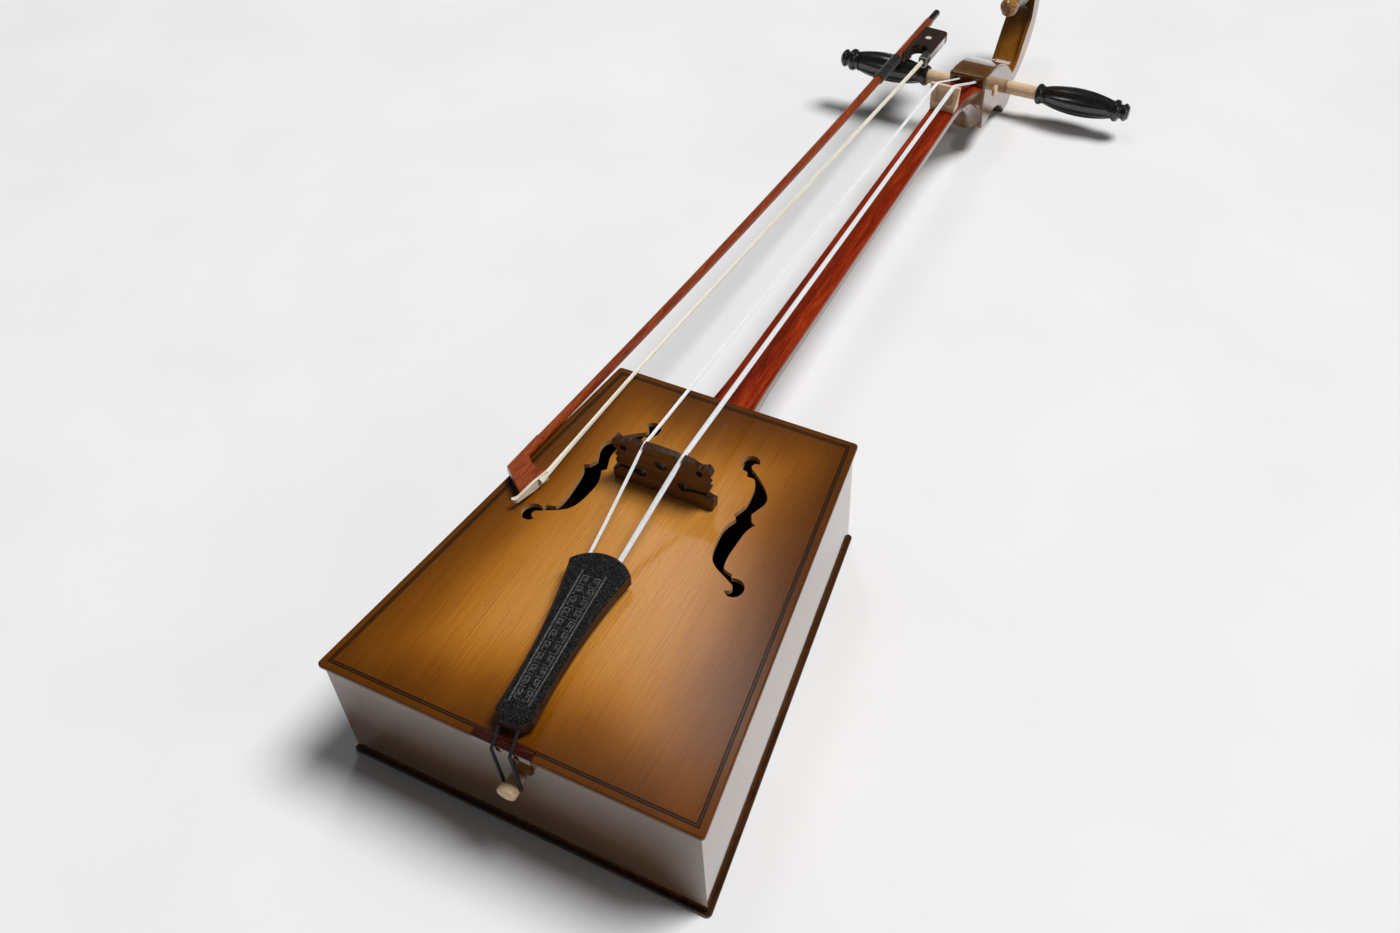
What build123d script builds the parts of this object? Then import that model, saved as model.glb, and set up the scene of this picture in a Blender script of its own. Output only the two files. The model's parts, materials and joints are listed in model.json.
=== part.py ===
from build123d import *
import math
import os

# Morin khuur (Mongolian horse-head fiddle) lying on its back with its bow laid across it.
# Millimetres. X is across the sound box, Y runs from the tail to the horse's head, Z is up,
# out of the soundboard. While modelling, Y = 0 is the tail edge of the box and Z = 0 is the
# surface that the back plate lies on; export moves Y = 0 to the middle of the box.

os.makedirs("parts", exist_ok=True)

# ---------------------------------------------------------------- driving dimensions
BOX_LENGTH = 326.0
BOX_DEPTH = 106.0
TAIL_HALF_WIDTH = 140.0
HEAD_HALF_WIDTH = 99.6
PLATE = 4.0  # thickness of the soundboard
BACK_PLATE = 3.0
OVERHANG = 3.0  # of the plates past the ribs
RIB = 4.0
CORNER_ROUND = 3.0
EDGE_ROUND = 1.2

NECK_X = -4.5  # the neck and the pegbox stand a little left of the box's centre line
BRIDGE_X = -6.5  # and the bridge a little further
NECK_START_Z = 100.5  # front of the fingerboard where it leaves the box
NECK_SLOPE = -0.022  # the neck leans back
NECK_END = 864.0
FINGERBOARD = 4.0

BRIDGE_Y = 227.0
BRIDGE_HEIGHT = 41.5
BRIDGE_STRING_Z = 144.5  # of the strings' centres over the bridge
BRIDGE_THICKNESS = 8.0
UPPER_BRIDGE_Y = 793.0
UPPER_BRIDGE_TOP = 116.5

THICK_STRING = 1.6  # radii of the two filament strings
THIN_STRING = 1.2
NOTCH_SPACING = 30.0  # of the strings on the bridge
NUT_SPACING = 17.0  # of the strings on the upper bridge and in the pegbox holes
NUT_HOLE_Y = 867.0
NUT_HOLE_Z = 80.0

PEGBOX_HALF_WIDTH = 19.0
CHEEK = 7.0
LEFT_PEG = (904.5, 52.0)  # Y and Z of the peg axes
RIGHT_PEG = (954.5, 28.5)
PEG_BIG_RADIUS = 7.0
PEG_SMALL_RADIUS = 5.6
HANDLE_LENGTH = 98.0
HANDLE_RADIUS = 14.3
RUNNING = 0.05  # radial clearance of turning and sliding fits

HORSE_NECK_HALF_WIDTH = 14.0

BOW_TIP = (-113.5, 195.7, 112.3)  # the stick's axis at the corner of the bow's head
BOW_BUTT = (-89.2, 994.1, 66.2)  # the far end of the chord that the curved stick springs from
STICK_END = 790.5  # along the chord from the tip
BUTT_START = 650.0  # where the stick's curve ends and the straight butt begins
BUTT_OFFSET = 3.0  # of the butt's start from the chord, towards the hair
BUTT_SLOPE = -0.018
FROG_START = 701.0
FROG_THICKNESS = 10.0

centre_line = Pos(NECK_X, 0, 0)


# ---------------------------------------------------------------- helpers
def save(name, shape):
    """Write one sub-part, with the row's origin under the middle of the box."""
    solids = (Pos(0, -BOX_LENGTH / 2, 0) * shape).solids()
    body = solids[0] if len(solids) == 1 else Compound(children=solids)
    export_step(body, f"parts/{name}.step")


def side_slab(edges, half_width):
    """A profile drawn in Y and Z, extruded both ways along X."""
    return extrude(Plane.YZ * make_face(edges), half_width, both=True)


def both_sides(edges):
    """The edges drawn on the +X side, and their mirror images on the other."""
    return edges + [mirror(edge, about=Plane.YZ) for edge in edges]


def tube(points, radii, radius):
    """A round cord along straight runs joined by tangent arcs."""
    path = FilletPolyline(*points, radius=radii)
    return sweep(Plane(path @ 0, z_dir=path % 0) * Circle(radius), path=path)


def along_x(shape, x, y, z):
    """A shape made along +Z, laid along +X from the point given."""
    return Pos(x, y, z) * Rot(0, 90, 0) * shape


def fingerboard_z(y):
    """Height of the fingerboard's front: straight, then dipping into the pegbox."""
    straight = NECK_START_Z + NECK_SLOPE * (y - BOX_LENGTH)
    dip = max(0.0, y - 805.0)
    return straight - 0.0034 * dip ** 2


# ---------------------------------------------------------------- sound box
def box_half_width(y):
    return TAIL_HALF_WIDTH - (TAIL_HALF_WIDTH - HEAD_HALF_WIDTH) * y / BOX_LENGTH


def box_face(inset):
    """The box's trapezoid, drawn in by the same distance on every side."""
    tilt = math.atan((TAIL_HALF_WIDTH - HEAD_HALF_WIDTH) / BOX_LENGTH)
    low = inset
    high = BOX_LENGTH - inset
    side = inset / math.cos(tilt)
    wide = box_half_width(low) - side
    narrow = box_half_width(high) - side
    return make_face(Polyline((-wide, low), (wide, low), (narrow, high), (-narrow, high), close=True))


def box_ring(outer_inset, inner_inset, low, high):
    ring = box_face(outer_inset) - box_face(inner_inset)
    return Pos(0, 0, low) * extrude(ring, high - low)


def plate(low, thickness):
    slab = Pos(0, 0, low) * extrude(box_face(0), thickness)
    slab = fillet(slab.edges().filter_by(Axis.Z), CORNER_ROUND)
    rims = slab.faces().filter_by(Axis.Z).edges()
    return fillet(rims, EDGE_ROUND)


HOLES_X = -3.5  # middle of the pair of sound holes


def f_hole():
    """The right sound hole: a reversed S with two notches, two barbs and a round eye at each end."""
    outer = [
        Spline((44, 271), (57, 261), (66.5, 247), (62, 232), tangents=[(1, -0.6), (-0.3, -1)]),
        Polyline((62, 232), (65, 226), (69, 224)),
        Spline((69, 224), (64.5, 206), (66, 181), tangents=[(-0.7, -0.7), (0.4, -1)]),
        Polyline((66, 181), (73, 179), (74, 176)),
        ThreePointArc((74, 176), (86, 171.5), (84.5, 164)),
        ThreePointArc((84.5, 164), (80, 161.5), (74, 165)),
        ThreePointArc((74, 165), (78, 167.5), (75, 172)),
        Spline((75, 172), (56, 184), (50.5, 204), (54, 224), tangents=[(-0.8, 0.5), (0.5, 1)]),
        Polyline((54, 224), (51, 227), (54.5, 237)),
        Spline((54.5, 237), (54, 250), (49, 263), tangents=[(0.2, 1), (-0.8, 0.6)]),
        Polyline((49, 263), (43, 263), (42, 267)),
        ThreePointArc((42, 267), (35.5, 270.5), (34, 276)),
        ThreePointArc((34, 276), (39, 283), (47, 277)),
        ThreePointArc((47, 277), (43, 275.5), (44, 271)),
    ]
    return make_face(outer)


def saddle_slot(grow):
    """The block of soundboard edge that the lower saddle takes the place of."""
    return Pos(2, 3.3 + grow / 2, BOX_DEPTH - 3.5) * Box(42.5 + grow, 6.6 + grow, 8)


def purfling():
    rings = box_ring(5.0, 5.8, BOX_DEPTH - 1, BOX_DEPTH) + box_ring(6.7, 7.5, BOX_DEPTH - 1, BOX_DEPTH)
    return rings - saddle_slot(0)


def soundboard():
    holes = Pos(HOLES_X, 0, 0) * (f_hole() + mirror(f_hole(), about=Plane.YZ))
    board = plate(BOX_DEPTH - PLATE, PLATE)
    board -= Pos(0, 0, BOX_DEPTH - PLATE) * extrude(holes, PLATE)
    board -= purfling()
    return board - saddle_slot(0)


RIB_LOW = BACK_PLATE
RIB_HIGH = BOX_DEPTH - PLATE
INNER = OVERHANG + RIB  # from the plates' edge to the inside of the ribs
TAIL_BUTTON = (6.5, 71.0)  # X and Z of the tail button


def rib_frame():
    return box_ring(OVERHANG, INNER, RIB_LOW, RIB_HIGH)


def end_zone(y_low, y_high):
    return Pos(0, (y_low + y_high) / 2, BOX_DEPTH / 2) * Box(400, y_high - y_low, BOX_DEPTH)


def rib_tail():
    return rib_frame() & end_zone(0, INNER) - button_stem(0)


def neck_tenon(grow):
    """The tongue of the neck that is glued into the head rib and the neck block."""
    low, high = 48.0, 94.0
    slab = Box(20 + grow, 34 + grow, high - low + grow)
    return Pos(NECK_X, BOX_LENGTH - 20, (low + high) / 2) * slab


def rib_head():
    return rib_frame() & end_zone(BOX_LENGTH - INNER, BOX_LENGTH) - neck_tenon(0)


def rib_side(sign):
    half = Pos(sign * 100, BOX_LENGTH / 2, BOX_DEPTH / 2) * Box(200, BOX_LENGTH - 2 * INNER, BOX_DEPTH)
    return rib_frame() & half


def corner_blocks():
    """A three-sided post glued into each corner of the ribs."""
    inside = extrude(box_face(INNER), RIB_HIGH - RIB_LOW)
    posts = Part()
    for y, sign in ((INNER, -1), (INNER, 1), (BOX_LENGTH - INNER, -1), (BOX_LENGTH - INNER, 1)):
        post = Rot(0, 0, 45) * Box(26, 26, RIB_HIGH - RIB_LOW, align=(Align.CENTER, Align.CENTER, Align.MIN))
        posts += Pos(sign * (box_half_width(y) - INNER), y, 0) * post
    return Pos(0, 0, RIB_LOW) * (posts & inside)


def end_block(y, depth, width):
    """A block glued across an end rib; y is the side of the block nearer the tail."""
    block = Box(width, depth, RIB_HIGH - RIB_LOW, align=(Align.CENTER, Align.MIN, Align.MIN))
    return Pos(0, y, RIB_LOW) * block


def tail_block():
    return end_block(INNER, 18, 62) - button_stem(0)


def neck_block():
    return end_block(BOX_LENGTH - INNER - 26, 26, 70) - neck_tenon(0)


def linings(low):
    """Four strips that widen the glue joint between the ribs and one plate."""
    strips = box_ring(INNER, INNER + 5, low, low + 8)
    for block in (corner_blocks(), end_block(INNER, 18, 62), end_block(BOX_LENGTH - INNER - 26, 26, 70)):
        strips -= block
    return strips


def bass_bar():
    """A tapered bar under the soundboard, below the thick string's foot of the bridge."""
    top = RIB_HIGH
    profile = [
        Line((95, top), (290, top)),
        Line((290, top), (290, top - 3)),
        ThreePointArc((290, top - 3), (192, top - 13), (95, top - 3)),
        Line((95, top - 3), (95, top)),
    ]
    return Pos(27, 0, 0) * side_slab(profile, 3)


def sound_post():
    post = Cylinder(4, RIB_HIGH - RIB_LOW, align=(Align.CENTER, Align.CENTER, Align.MIN))
    return Pos(NECK_X - 31, 213, RIB_LOW) * post


def button_stem(grow):
    x, z = TAIL_BUTTON
    stem = Plane.XZ * Ellipse(5 + grow, 4.5 + grow)
    return Pos(x, -6.0, z) * extrude(stem, -28)


def tail_button():
    x, z = TAIL_BUTTON
    head = extrude(Plane.XZ * Ellipse(6.9, 5.6), 6)
    head = fillet(head.faces().sort_by(Axis.Y)[0].edges(), 1.6)
    return button_stem(0) + Pos(x, -6, z) * head - tail_cord()


def lower_saddle():
    """The hardwood strip, grooved by the cord, that guards the soundboard's edge."""
    low, high = BOX_DEPTH - PLATE, BOX_DEPTH + 3.0
    profile = [
        Line((-0.8, low), (6.6, low)),
        Line((6.6, low), (6.6, high - 1.5)),
        ThreePointArc((6.6, high - 1.5), (3, high), (-0.8, high - 2.4)),
        Line((-0.8, high - 2.4), (-0.8, low)),
    ]
    return Pos(2, 0, 0) * side_slab(profile, 21.25) - tail_cord()


# ---------------------------------------------------------------- neck and fingerboard
def d_section(y, half_width, top, depth):
    """A flat-fronted, round-backed section of the neck."""
    side = depth * 0.42
    outline = [
        Line((-half_width, top), (half_width, top)),
        Line((half_width, top), (half_width, top - side)),
        ThreePointArc((half_width, top - side), (0, top - depth), (-half_width, top - side)),
        Line((-half_width, top - side), (-half_width, top)),
    ]
    return Plane((NECK_X, y, 0), x_dir=(1, 0, 0), z_dir=(0, -1, 0)) * make_face(outline)


def neck():
    """Heel, shaft and root, with the tenon that goes into the box."""
    def station(y, half_width, depth):
        return d_section(y, half_width, fingerboard_z(y) - FINGERBOARD, depth)

    heel = loft([station(323, 17.5, 52), station(334, 16.5, 30), station(350, 15.6, 19), station(372, 15, 16)])
    shaft = loft([station(372, 15, 16), station(780, 12.0, 14)], ruled=True)
    root = loft([station(780, 12.0, 14), station(812, 12.3, 15), station(842, 13.6, 24), station(NECK_END, 17, 46)])
    return heel + shaft + root + (neck_tenon(0) & end_zone(0, 323))


def fingerboard():
    """A slightly crowned hardwood face on the neck."""
    def station(y, half_width):
        top = fingerboard_z(y)
        outline = [
            Line((-half_width, top - FINGERBOARD), (half_width, top - FINGERBOARD)),
            Line((half_width, top - FINGERBOARD), (half_width, top - 0.9)),
            ThreePointArc((half_width, top - 0.9), (0, top), (-half_width, top - 0.9)),
            Line((-half_width, top - 0.9), (-half_width, top - FINGERBOARD)),
        ]
        return Plane((NECK_X, y, 0), x_dir=(1, 0, 0), z_dir=(0, -1, 0)) * make_face(outline)

    heel = loft([station(BOX_LENGTH + 0.2, 17.2), station(334, 16.5), station(350, 15.6), station(372, 15)])
    shaft = loft([station(372, 15), station(780, 12.0)], ruled=True)
    root = loft([station(780, 12.0), station(812, 12.3), station(842, 13.6), station(NECK_END, 17)])
    return heel + shaft + root


def upper_bridge():
    """A maple block with a dished front that flares up to a sharp ridge."""
    foot = fingerboard_z(UPPER_BRIDGE_Y) - 2
    top = UPPER_BRIDGE_TOP - 1.5
    front = UPPER_BRIDGE_Y - 5.5
    back = UPPER_BRIDGE_Y + 8
    profile = [
        Line((front, foot), (back, foot)),
        Line((back, foot), (UPPER_BRIDGE_Y + 2, top)),
        Line((UPPER_BRIDGE_Y + 2, top), (UPPER_BRIDGE_Y - 1, top)),
        ThreePointArc((UPPER_BRIDGE_Y - 1, top), (UPPER_BRIDGE_Y - 3, foot + 13), (front, foot + 7.8)),
        Line((front, foot + 7.8), (front, foot)),
    ]
    block = side_slab(profile, 15)
    flare = make_face(Polyline((-11.6, foot), (11.6, foot), (14.6, top), (-14.6, top), close=True))
    flare = Plane((0, back + 5, 0), x_dir=(1, 0, 0), z_dir=(0, -1, 0)) * flare
    dish = [
        Line((front - 1, foot + 11), (front + 1.5, foot + 8.5)),
        ThreePointArc((front + 1.5, foot + 8.5), (UPPER_BRIDGE_Y - 1.6, foot + 12), (UPPER_BRIDGE_Y - 0.4, top - 2)),
        Line((UPPER_BRIDGE_Y - 0.4, top - 2), (front - 1, top - 2)),
        Line((front - 1, top - 2), (front - 1, foot + 11)),
    ]
    block = (block & extrude(flare, 40)) - side_slab(dish, 9)
    return centre_line * block - fingerboard() - string(0) - string(1)


# ---------------------------------------------------------------- bridge, tailpiece and strings
def string_places(spacing):
    """Offset from the middle of the pair, and radius, of the thin and the thick string."""
    return ((-spacing / 2, THIN_STRING), (spacing / 2, THICK_STRING))


def bridge():
    """A two-footed bridge with ears, a heart hole, kidneys and side slots."""
    high = BRIDGE_HEIGHT
    half = [
        Line((0, 3.2), (4, 3.2)),
        ThreePointArc((4, 3.2), (6.5, 4), (8, 0)),
        Line((8, 0), (39.3, 0)),
        Line((39.3, 0), (39.8, 9)),
        ThreePointArc((39.8, 9), (36, 9.5), (33, 11.5)),
        Line((33, 11.5), (34, 13.5)),
        ThreePointArc((34, 13.5), (27, 13.2), (20, 11.5)),
        ThreePointArc((20, 11.5), (13, 12.5), (13.5, 18)),
        ThreePointArc((13.5, 18), (18, 17.5), (23, 15.5)),
        Line((23, 15.5), (36, 16.2)),
        Line((36, 16.2), (37, 19.5)),
        ThreePointArc((37, 19.5), (34.4, 21.4), (36.5, 23.3)),
        Line((36.5, 23.3), (37.2, 25)),
        ThreePointArc((37.2, 25), (34.9, 27.6), (36.8, 30.5)),
        ThreePointArc((36.8, 30.5), (38.8, 36), (35.5, high - 0.5)),
        ThreePointArc((35.5, high - 0.5), (30, high - 3.2), (24.5, high - 0.6)),
        ThreePointArc((24.5, high - 0.6), (10, high + 0.4), (0, high + 0.7)),
        Line((0, high + 0.7), (0, 3.2)),
    ]
    face = make_face(half)
    face += mirror(face, about=Plane.YZ)
    face -= Pos(0, 28) * Ellipse(5.5, 4)
    face -= Pos(-29.8, 33) * Circle(2.6) + Pos(29.8, 33) * Circle(2.6)
    upright = Plane((0, BRIDGE_Y + BRIDGE_THICKNESS, BOX_DEPTH), x_dir=(1, 0, 0), z_dir=(0, -1, 0))
    slab = extrude(upright * face, 2 * BRIDGE_THICKNESS)
    wedge_half_top = BRIDGE_THICKNESS * 0.3
    wedge_half_foot = BRIDGE_THICKNESS / 2
    wedge = Polyline(
        (BRIDGE_Y - wedge_half_foot, BOX_DEPTH),
        (BRIDGE_Y + wedge_half_foot, BOX_DEPTH),
        (BRIDGE_Y + wedge_half_top, BOX_DEPTH + high + 2),
        (BRIDGE_Y - wedge_half_top, BOX_DEPTH + high + 2),
        close=True,
    )
    slab &= side_slab(wedge, 50)
    for x, radius in string_places(NOTCH_SPACING):
        slot = Box(2 * radius + 0.3, 3 * BRIDGE_THICKNESS, 20, align=(Align.CENTER, Align.CENTER, Align.MIN))
        slab -= Pos(x, BRIDGE_Y, BRIDGE_STRING_Z - radius - 0.3) * slot
    return Pos(BRIDGE_X, 0, 0) * slab


TAILPIECE_TAIL = (3.5, 10.0)  # X and Y of its lower end, on its own leaning axis
TAILPIECE_LEAN = 4.6  # degrees, towards the thin string
TAILPIECE_LOW = 112.0
TAILPIECE_THICK = 10.5
TAILPIECE_LENGTH = 139.0


def tailpiece_place():
    x, y = TAILPIECE_TAIL
    return Pos(x, y, 0) * Rot(0, 0, TAILPIECE_LEAN)


def tailpiece():
    """A flared, bevel-edged plate that the strings are anchored in."""
    long = TAILPIECE_LENGTH
    flank = [
        Line((7, 0), (13, 7)),
        ThreePointArc((13, 7), (14.2, 76), (22.3, long - 11)),
    ]
    ends = [
        Line((-7, 0), (7, 0)),
        ThreePointArc((22.3, long - 11), (0, long), (-22.3, long - 11)),
    ]
    block = Pos(0, 0, TAILPIECE_LOW) * extrude(make_face(ends + both_sides(flank)), TAILPIECE_THICK)
    block = chamfer(block.faces().sort_by(Axis.Z)[-1].edges(), 2.0)
    hollow = Pos(0, long / 2, TAILPIECE_LOW) * Box(12, long - 40, 4)
    block = tailpiece_place() * (block - hollow)
    for path in (string_path(0), string_path(1)):
        start = path[0]
        reach = Vector(*path[1]) - Vector(*start)
        hole = Plane(Vector(*start), z_dir=reach) * Cylinder(
            path[-1] + 0.15, 40, align=(Align.CENTER, Align.CENTER, Align.MIN))
        block -= hole
    return block - cord_bores()


CORD_RADIUS = 1.2
CORD_SPACING = 13.3


def cord_points():
    """The tail cord's route: out of the tailpiece, over the saddle and round the button."""
    x, y = TAILPIECE_TAIL
    half = CORD_SPACING / 2
    button_x, button_z = TAIL_BUTTON
    saddle_z = BOX_DEPTH + 3.0 + CORD_RADIUS + 0.3
    wrap = 6.5
    points = []
    for side in (-1, 1):
        run = [
            (x - 1 + side * half, y + 12, TAILPIECE_LOW + 4.4),
            (x - 0.5 + side * half, y - 1, TAILPIECE_LOW + 3.6),
            (x + side * half, 2.5, saddle_z),
            (x + side * half, -2.9, saddle_z - 4.6),
            (button_x + side * wrap, -3.6, button_z + 2),
        ]
        points += run if side < 0 else run[::-1]
    loop = [(button_x - wrap, -3.6, button_z - 5), (button_x + wrap, -3.6, button_z - 5)]
    return points[:5] + loop + points[5:]


def cord_bores():
    bores = Part()
    x, y = TAILPIECE_TAIL
    points = cord_points()
    for start, end in ((points[0], points[1]), (points[-1], points[-2])):
        reach = Vector(*end) - Vector(*start)
        bore = Cylinder(CORD_RADIUS + 0.1, 40, align=(Align.CENTER, Align.CENTER, Align.MIN))
        bores += Plane(Vector(*start), z_dir=reach) * bore
    return bores


def tail_cord():
    radii = [6, 3.2, 3.2, 20, 5.2, 5.2, 20, 3.2, 3.2, 6]
    return tube(cord_points(), radii, CORD_RADIUS)


def string_path(index):
    """Route and radius of one string, from the tailpiece to just before its peg."""
    side = -1 if index == 0 else 1
    radius = THIN_STRING if index == 0 else THICK_STRING
    peg_y, peg_z = LEFT_PEG if index == 0 else RIGHT_PEG
    tail_x = -9.0 + side * 9.9
    bridge_x = BRIDGE_X + side * NOTCH_SPACING / 2
    nut_x = NECK_X + side * NUT_SPACING / 2
    ridge_top = UPPER_BRIDGE_TOP - 1.5 + radius
    return (
        (tail_x + 0.8 * side, 138.0, TAILPIECE_LOW + 4.2),
        (tail_x + side, 150.5, TAILPIECE_LOW + 7.0),
        (bridge_x, BRIDGE_Y, BRIDGE_STRING_Z + 0.3),
        (nut_x, UPPER_BRIDGE_Y + 0.5, ridge_top),
        (nut_x, NUT_HOLE_Y, NUT_HOLE_Z),
        (nut_x, NUT_HOLE_Y + 14, NUT_HOLE_Z - 7.2),
        (nut_x, peg_y - 4.5, peg_z + 13.6),
        radius,
    )


def string(index):
    *points, radius = string_path(index)
    return tube(points, [20, 12, 8, 30, 12], radius)


# ---------------------------------------------------------------- pegbox and horse
def pegbox_profile():
    return [
        Line((NECK_END, 77), (NECK_END, 84)),
        ThreePointArc((NECK_END, 84), (866, 87.2), (870, 87)),
        ThreePointArc((870, 87), (931, 68.5), (973, 33)),
        ThreePointArc((973, 33), (977, 21), (974, 8)),
        ThreePointArc((974, 8), (969.2, 2.25), (962, 0)),
        Line((962, 0), (950, 0)),
        ThreePointArc((950, 0), (916, 24.5), (881, 22)),
        ThreePointArc((881, 22), (872, 25), (868, 36)),
        Line((868, 36), (NECK_END, 60)),
        Line((NECK_END, 60), (NECK_END, 77)),
    ]


def pegbox_cavity():
    return [
        Line((876, 45), (879, 76)),
        ThreePointArc((879, 76), (925, 63), (966, 31.5)),
        Line((966, 31.5), (968.5, 21)),
        Line((968.5, 21), (961, 13)),
        Line((961, 13), (944, 13)),
        Line((944, 13), (936, -5)),
        Line((936, -5), (888, -5)),
        Line((888, -5), (886, 30)),
        Line((886, 30), (876, 45)),
    ]


def peg_cone(side, grow):
    """The tapered part of a peg inside the pegbox, starting at its big end."""
    y, z = LEFT_PEG if side < 0 else RIGHT_PEG
    reach = 2 * PEGBOX_HALF_WIDTH + 2.0
    cone = Cone(
        PEG_BIG_RADIUS - 0.5 + grow, PEG_SMALL_RADIUS + grow, reach,
        align=(Align.CENTER, Align.CENTER, Align.MIN))
    start = NECK_X + side * (PEGBOX_HALF_WIDTH + 0.5)
    turn = Rot(0, 90, 0) if side < 0 else Rot(0, -90, 0)
    return Pos(start, y, z) * turn * cone


def pegbox():
    """The peg housing: a dome in front, flat cheeks, open underneath between two lobes."""
    block = side_slab(pegbox_profile(), PEGBOX_HALF_WIDTH)
    rims = block.faces().filter_by(Axis.X).edges().filter_by(lambda edge: edge.center().Z > 5)
    block = fillet(rims.filter_by(lambda edge: edge.center().Y > NECK_END + 1), 2.5)
    block -= side_slab(pegbox_cavity(), PEGBOX_HALF_WIDTH - CHEEK)
    block = centre_line * block
    for side in (-1, 1):
        block -= peg_cone(side, RUNNING)
    for index in (0, 1):
        *points, radius = string_path(index)
        start, end = Vector(*points[4]), Vector(*points[5])
        hole = Cylinder(radius + 0.4, 34, align=(Align.CENTER, Align.CENTER, Align.CENTER))
        block -= Plane(start, z_dir=end - start) * hole
    return block


def horse_neck():
    """The horse's neck, curving up from the pegbox, with a channel between two rims in front."""
    outline = [
        Spline((976, 29), (996, 27), (1016, 42), (1036, 60), (1042, 84), tangents=[(1, -0.35), (0.05, 1)]),
        Line((1042, 84), (1069, 84)),
        Spline((1069, 84), (1064, 50), (1040, 22), (1008, 8), (974.6, 9), tangents=[(0, -1), (-1, 0.1)]),
        ThreePointArc((974.6, 9), (977, 20), (976, 29)),
    ]
    half = HORSE_NECK_HALF_WIDTH
    block = side_slab(outline, half)
    back = block.edges().filter_by(lambda edge: edge.center().Z < 40 and abs(edge.center().X) > half - 0.1)
    back = back.filter_by(lambda edge: edge.center().Y > 1000 and edge.length > 60)
    block = fillet(back.sort_by(Axis.Y)[-2:], 6)
    channel = [
        Spline((972, 20), (1013, 35), (1034, 53), (1046, 84), tangents=[(1, 0), (0.1, 1)]),
        Line((1046, 84), (972, 84)),
        Line((972, 84), (972, 20)),
    ]
    block -= side_slab(channel, half - 3.6)
    return centre_line * (block - side_slab(pegbox_profile(), PEGBOX_HALF_WIDTH)) - screw_eye()


HORSE_FOREHEAD = 124.0
MUZZLE_Y = 984.0


def head_section(y, half_width, centre_z, half_height):
    outline = Ellipse(half_width, half_height)
    return Plane((NECK_X, y, centre_z), x_dir=(1, 0, 0), z_dir=(0, -1, 0)) * outline


def horse_head():
    """Muzzle, cheeks and ears, looking back along the strings."""
    skull = loft([
        head_section(MUZZLE_Y, 7.0, 97, 7.0),
        head_section(MUZZLE_Y + 6, 9.0, 97, 9.5),
        head_section(MUZZLE_Y + 20, 9.0, 99, 12),
        head_section(MUZZLE_Y + 42, 12.0, 101, 18),
        head_section(MUZZLE_Y + 62, 12.2, 103, 20),
        head_section(MUZZLE_Y + 82, 11.0, 101, 19),
    ])
    for side in (-1, 1):
        ear = Cone(4.6, 0.8, 20, align=(Align.CENTER, Align.CENTER, Align.MIN))
        skull += Pos(NECK_X + side * 7, MUZZLE_Y + 66, 116) * Rot(6, side * 12, 0) * ear
    above_neck = Pos(NECK_X, 1030, 84 + 60) * Box(60, 140, 120)
    in_front = Pos(NECK_X, 1010, 90) * Box(60, 62, 60)
    skull = skull & (above_neck + in_front)
    for eye in horse_eye_balls():
        skull -= eye
    return skull


def horse_eye_balls():
    return [Pos(NECK_X + side * 8.4, MUZZLE_Y + 23, 104) * Sphere(2.4) for side in (-1, 1)]


def horse_eyes():
    left, right = horse_eye_balls()
    return left + right


def mane():
    """A crest of carved locks down the back of the head and neck."""
    crest = [
        Spline((1046, 123), (1068, 112), (1073, 84), (1068, 52), (1050, 26),
               tangents=[(1, 0.15), (-1, -0.8)]),
        Spline((1050, 26), (1074, 48), (1080, 86), (1074, 120), (1052, 131), tangents=[(1, 0.6), (-1, 0.1)]),
        Line((1052, 131), (1046, 123)),
    ]
    ridge = centre_line * side_slab(crest, 4.5)
    return ridge - horse_head() - horse_neck()


def hanging_ring_place():
    return NECK_X + 8.0, 1008.0, 9.5


def screw_eye():
    """A small brass screw eye in the back of the horse's neck, for a hanging cord."""
    x, y, z = hanging_ring_place()
    eye = Pos(0, 0, -5.2) * Rot(0, 90, 0) * Torus(2.6, 0.7)
    shank = Cylinder(0.9, 8, align=(Align.CENTER, Align.CENTER, Align.MIN))
    return Pos(x, y, z) * Rot(52, 0, 0) * (eye + Pos(0, 0, -2.8) * shank)


# ---------------------------------------------------------------- pegs
def handle_profile():
    """Half section of a turned handle, from its inner ring to its end button."""
    return [
        Line((0, 0), (9.4, 0)),
        ThreePointArc((9.4, 0), (10.9, 3), (9.4, 6)),
        Line((9.4, 6), (9.0, 8)),
        ThreePointArc((9.0, 8), (HANDLE_RADIUS, 45), (9.6, 79)),
        Line((9.6, 79), (9.6, 81)),
        ThreePointArc((9.6, 81), (11.4, 84.5), (9.6, 88)),
        ThreePointArc((9.6, 88), (7.4, 89.5), (7.6, 91)),
        ThreePointArc((7.6, 91), (9.2, 93.5), (7.6, 96)),
        ThreePointArc((7.6, 96), (6.2, 97.4), (4, HANDLE_LENGTH)),
        Line((4, HANDLE_LENGTH), (0, HANDLE_LENGTH)),
        Line((0, HANDLE_LENGTH), (0, 0)),
    ]


FLUTES = 8
FLUTE_RADIUS = 9.0


def peg_handle(side):
    """An ebony barrel with eight flutes, on the outer end of the peg."""
    blank = revolve(Plane.XZ * make_face(handle_profile()), Axis.Z)
    path = Plane.XZ * ThreePointArc((17.0, 8), (HANDLE_RADIUS + 7.2, 45), (17.3, 79))
    flute = sweep(Plane(path @ 0, z_dir=path % 0) * Circle(FLUTE_RADIUS), path=path)
    for turn in range(FLUTES):
        blank -= Rot(0, 0, turn * 360 / FLUTES) * flute
    socket = Cylinder(PEG_BIG_RADIUS, 16, align=(Align.CENTER, Align.CENTER, Align.MIN))
    blank -= socket
    return peg_place(side) * blank


def peg_place(side):
    """Where the handle's inner end is, with its axis pointing away from the pegbox."""
    y, z = LEFT_PEG if side < 0 else RIGHT_PEG
    x = -58.0 if side < 0 else 47.6
    turn = Rot(0, -90, 0) if side < 0 else Rot(0, 90, 0)
    return Pos(x, y, z) * turn


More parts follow.
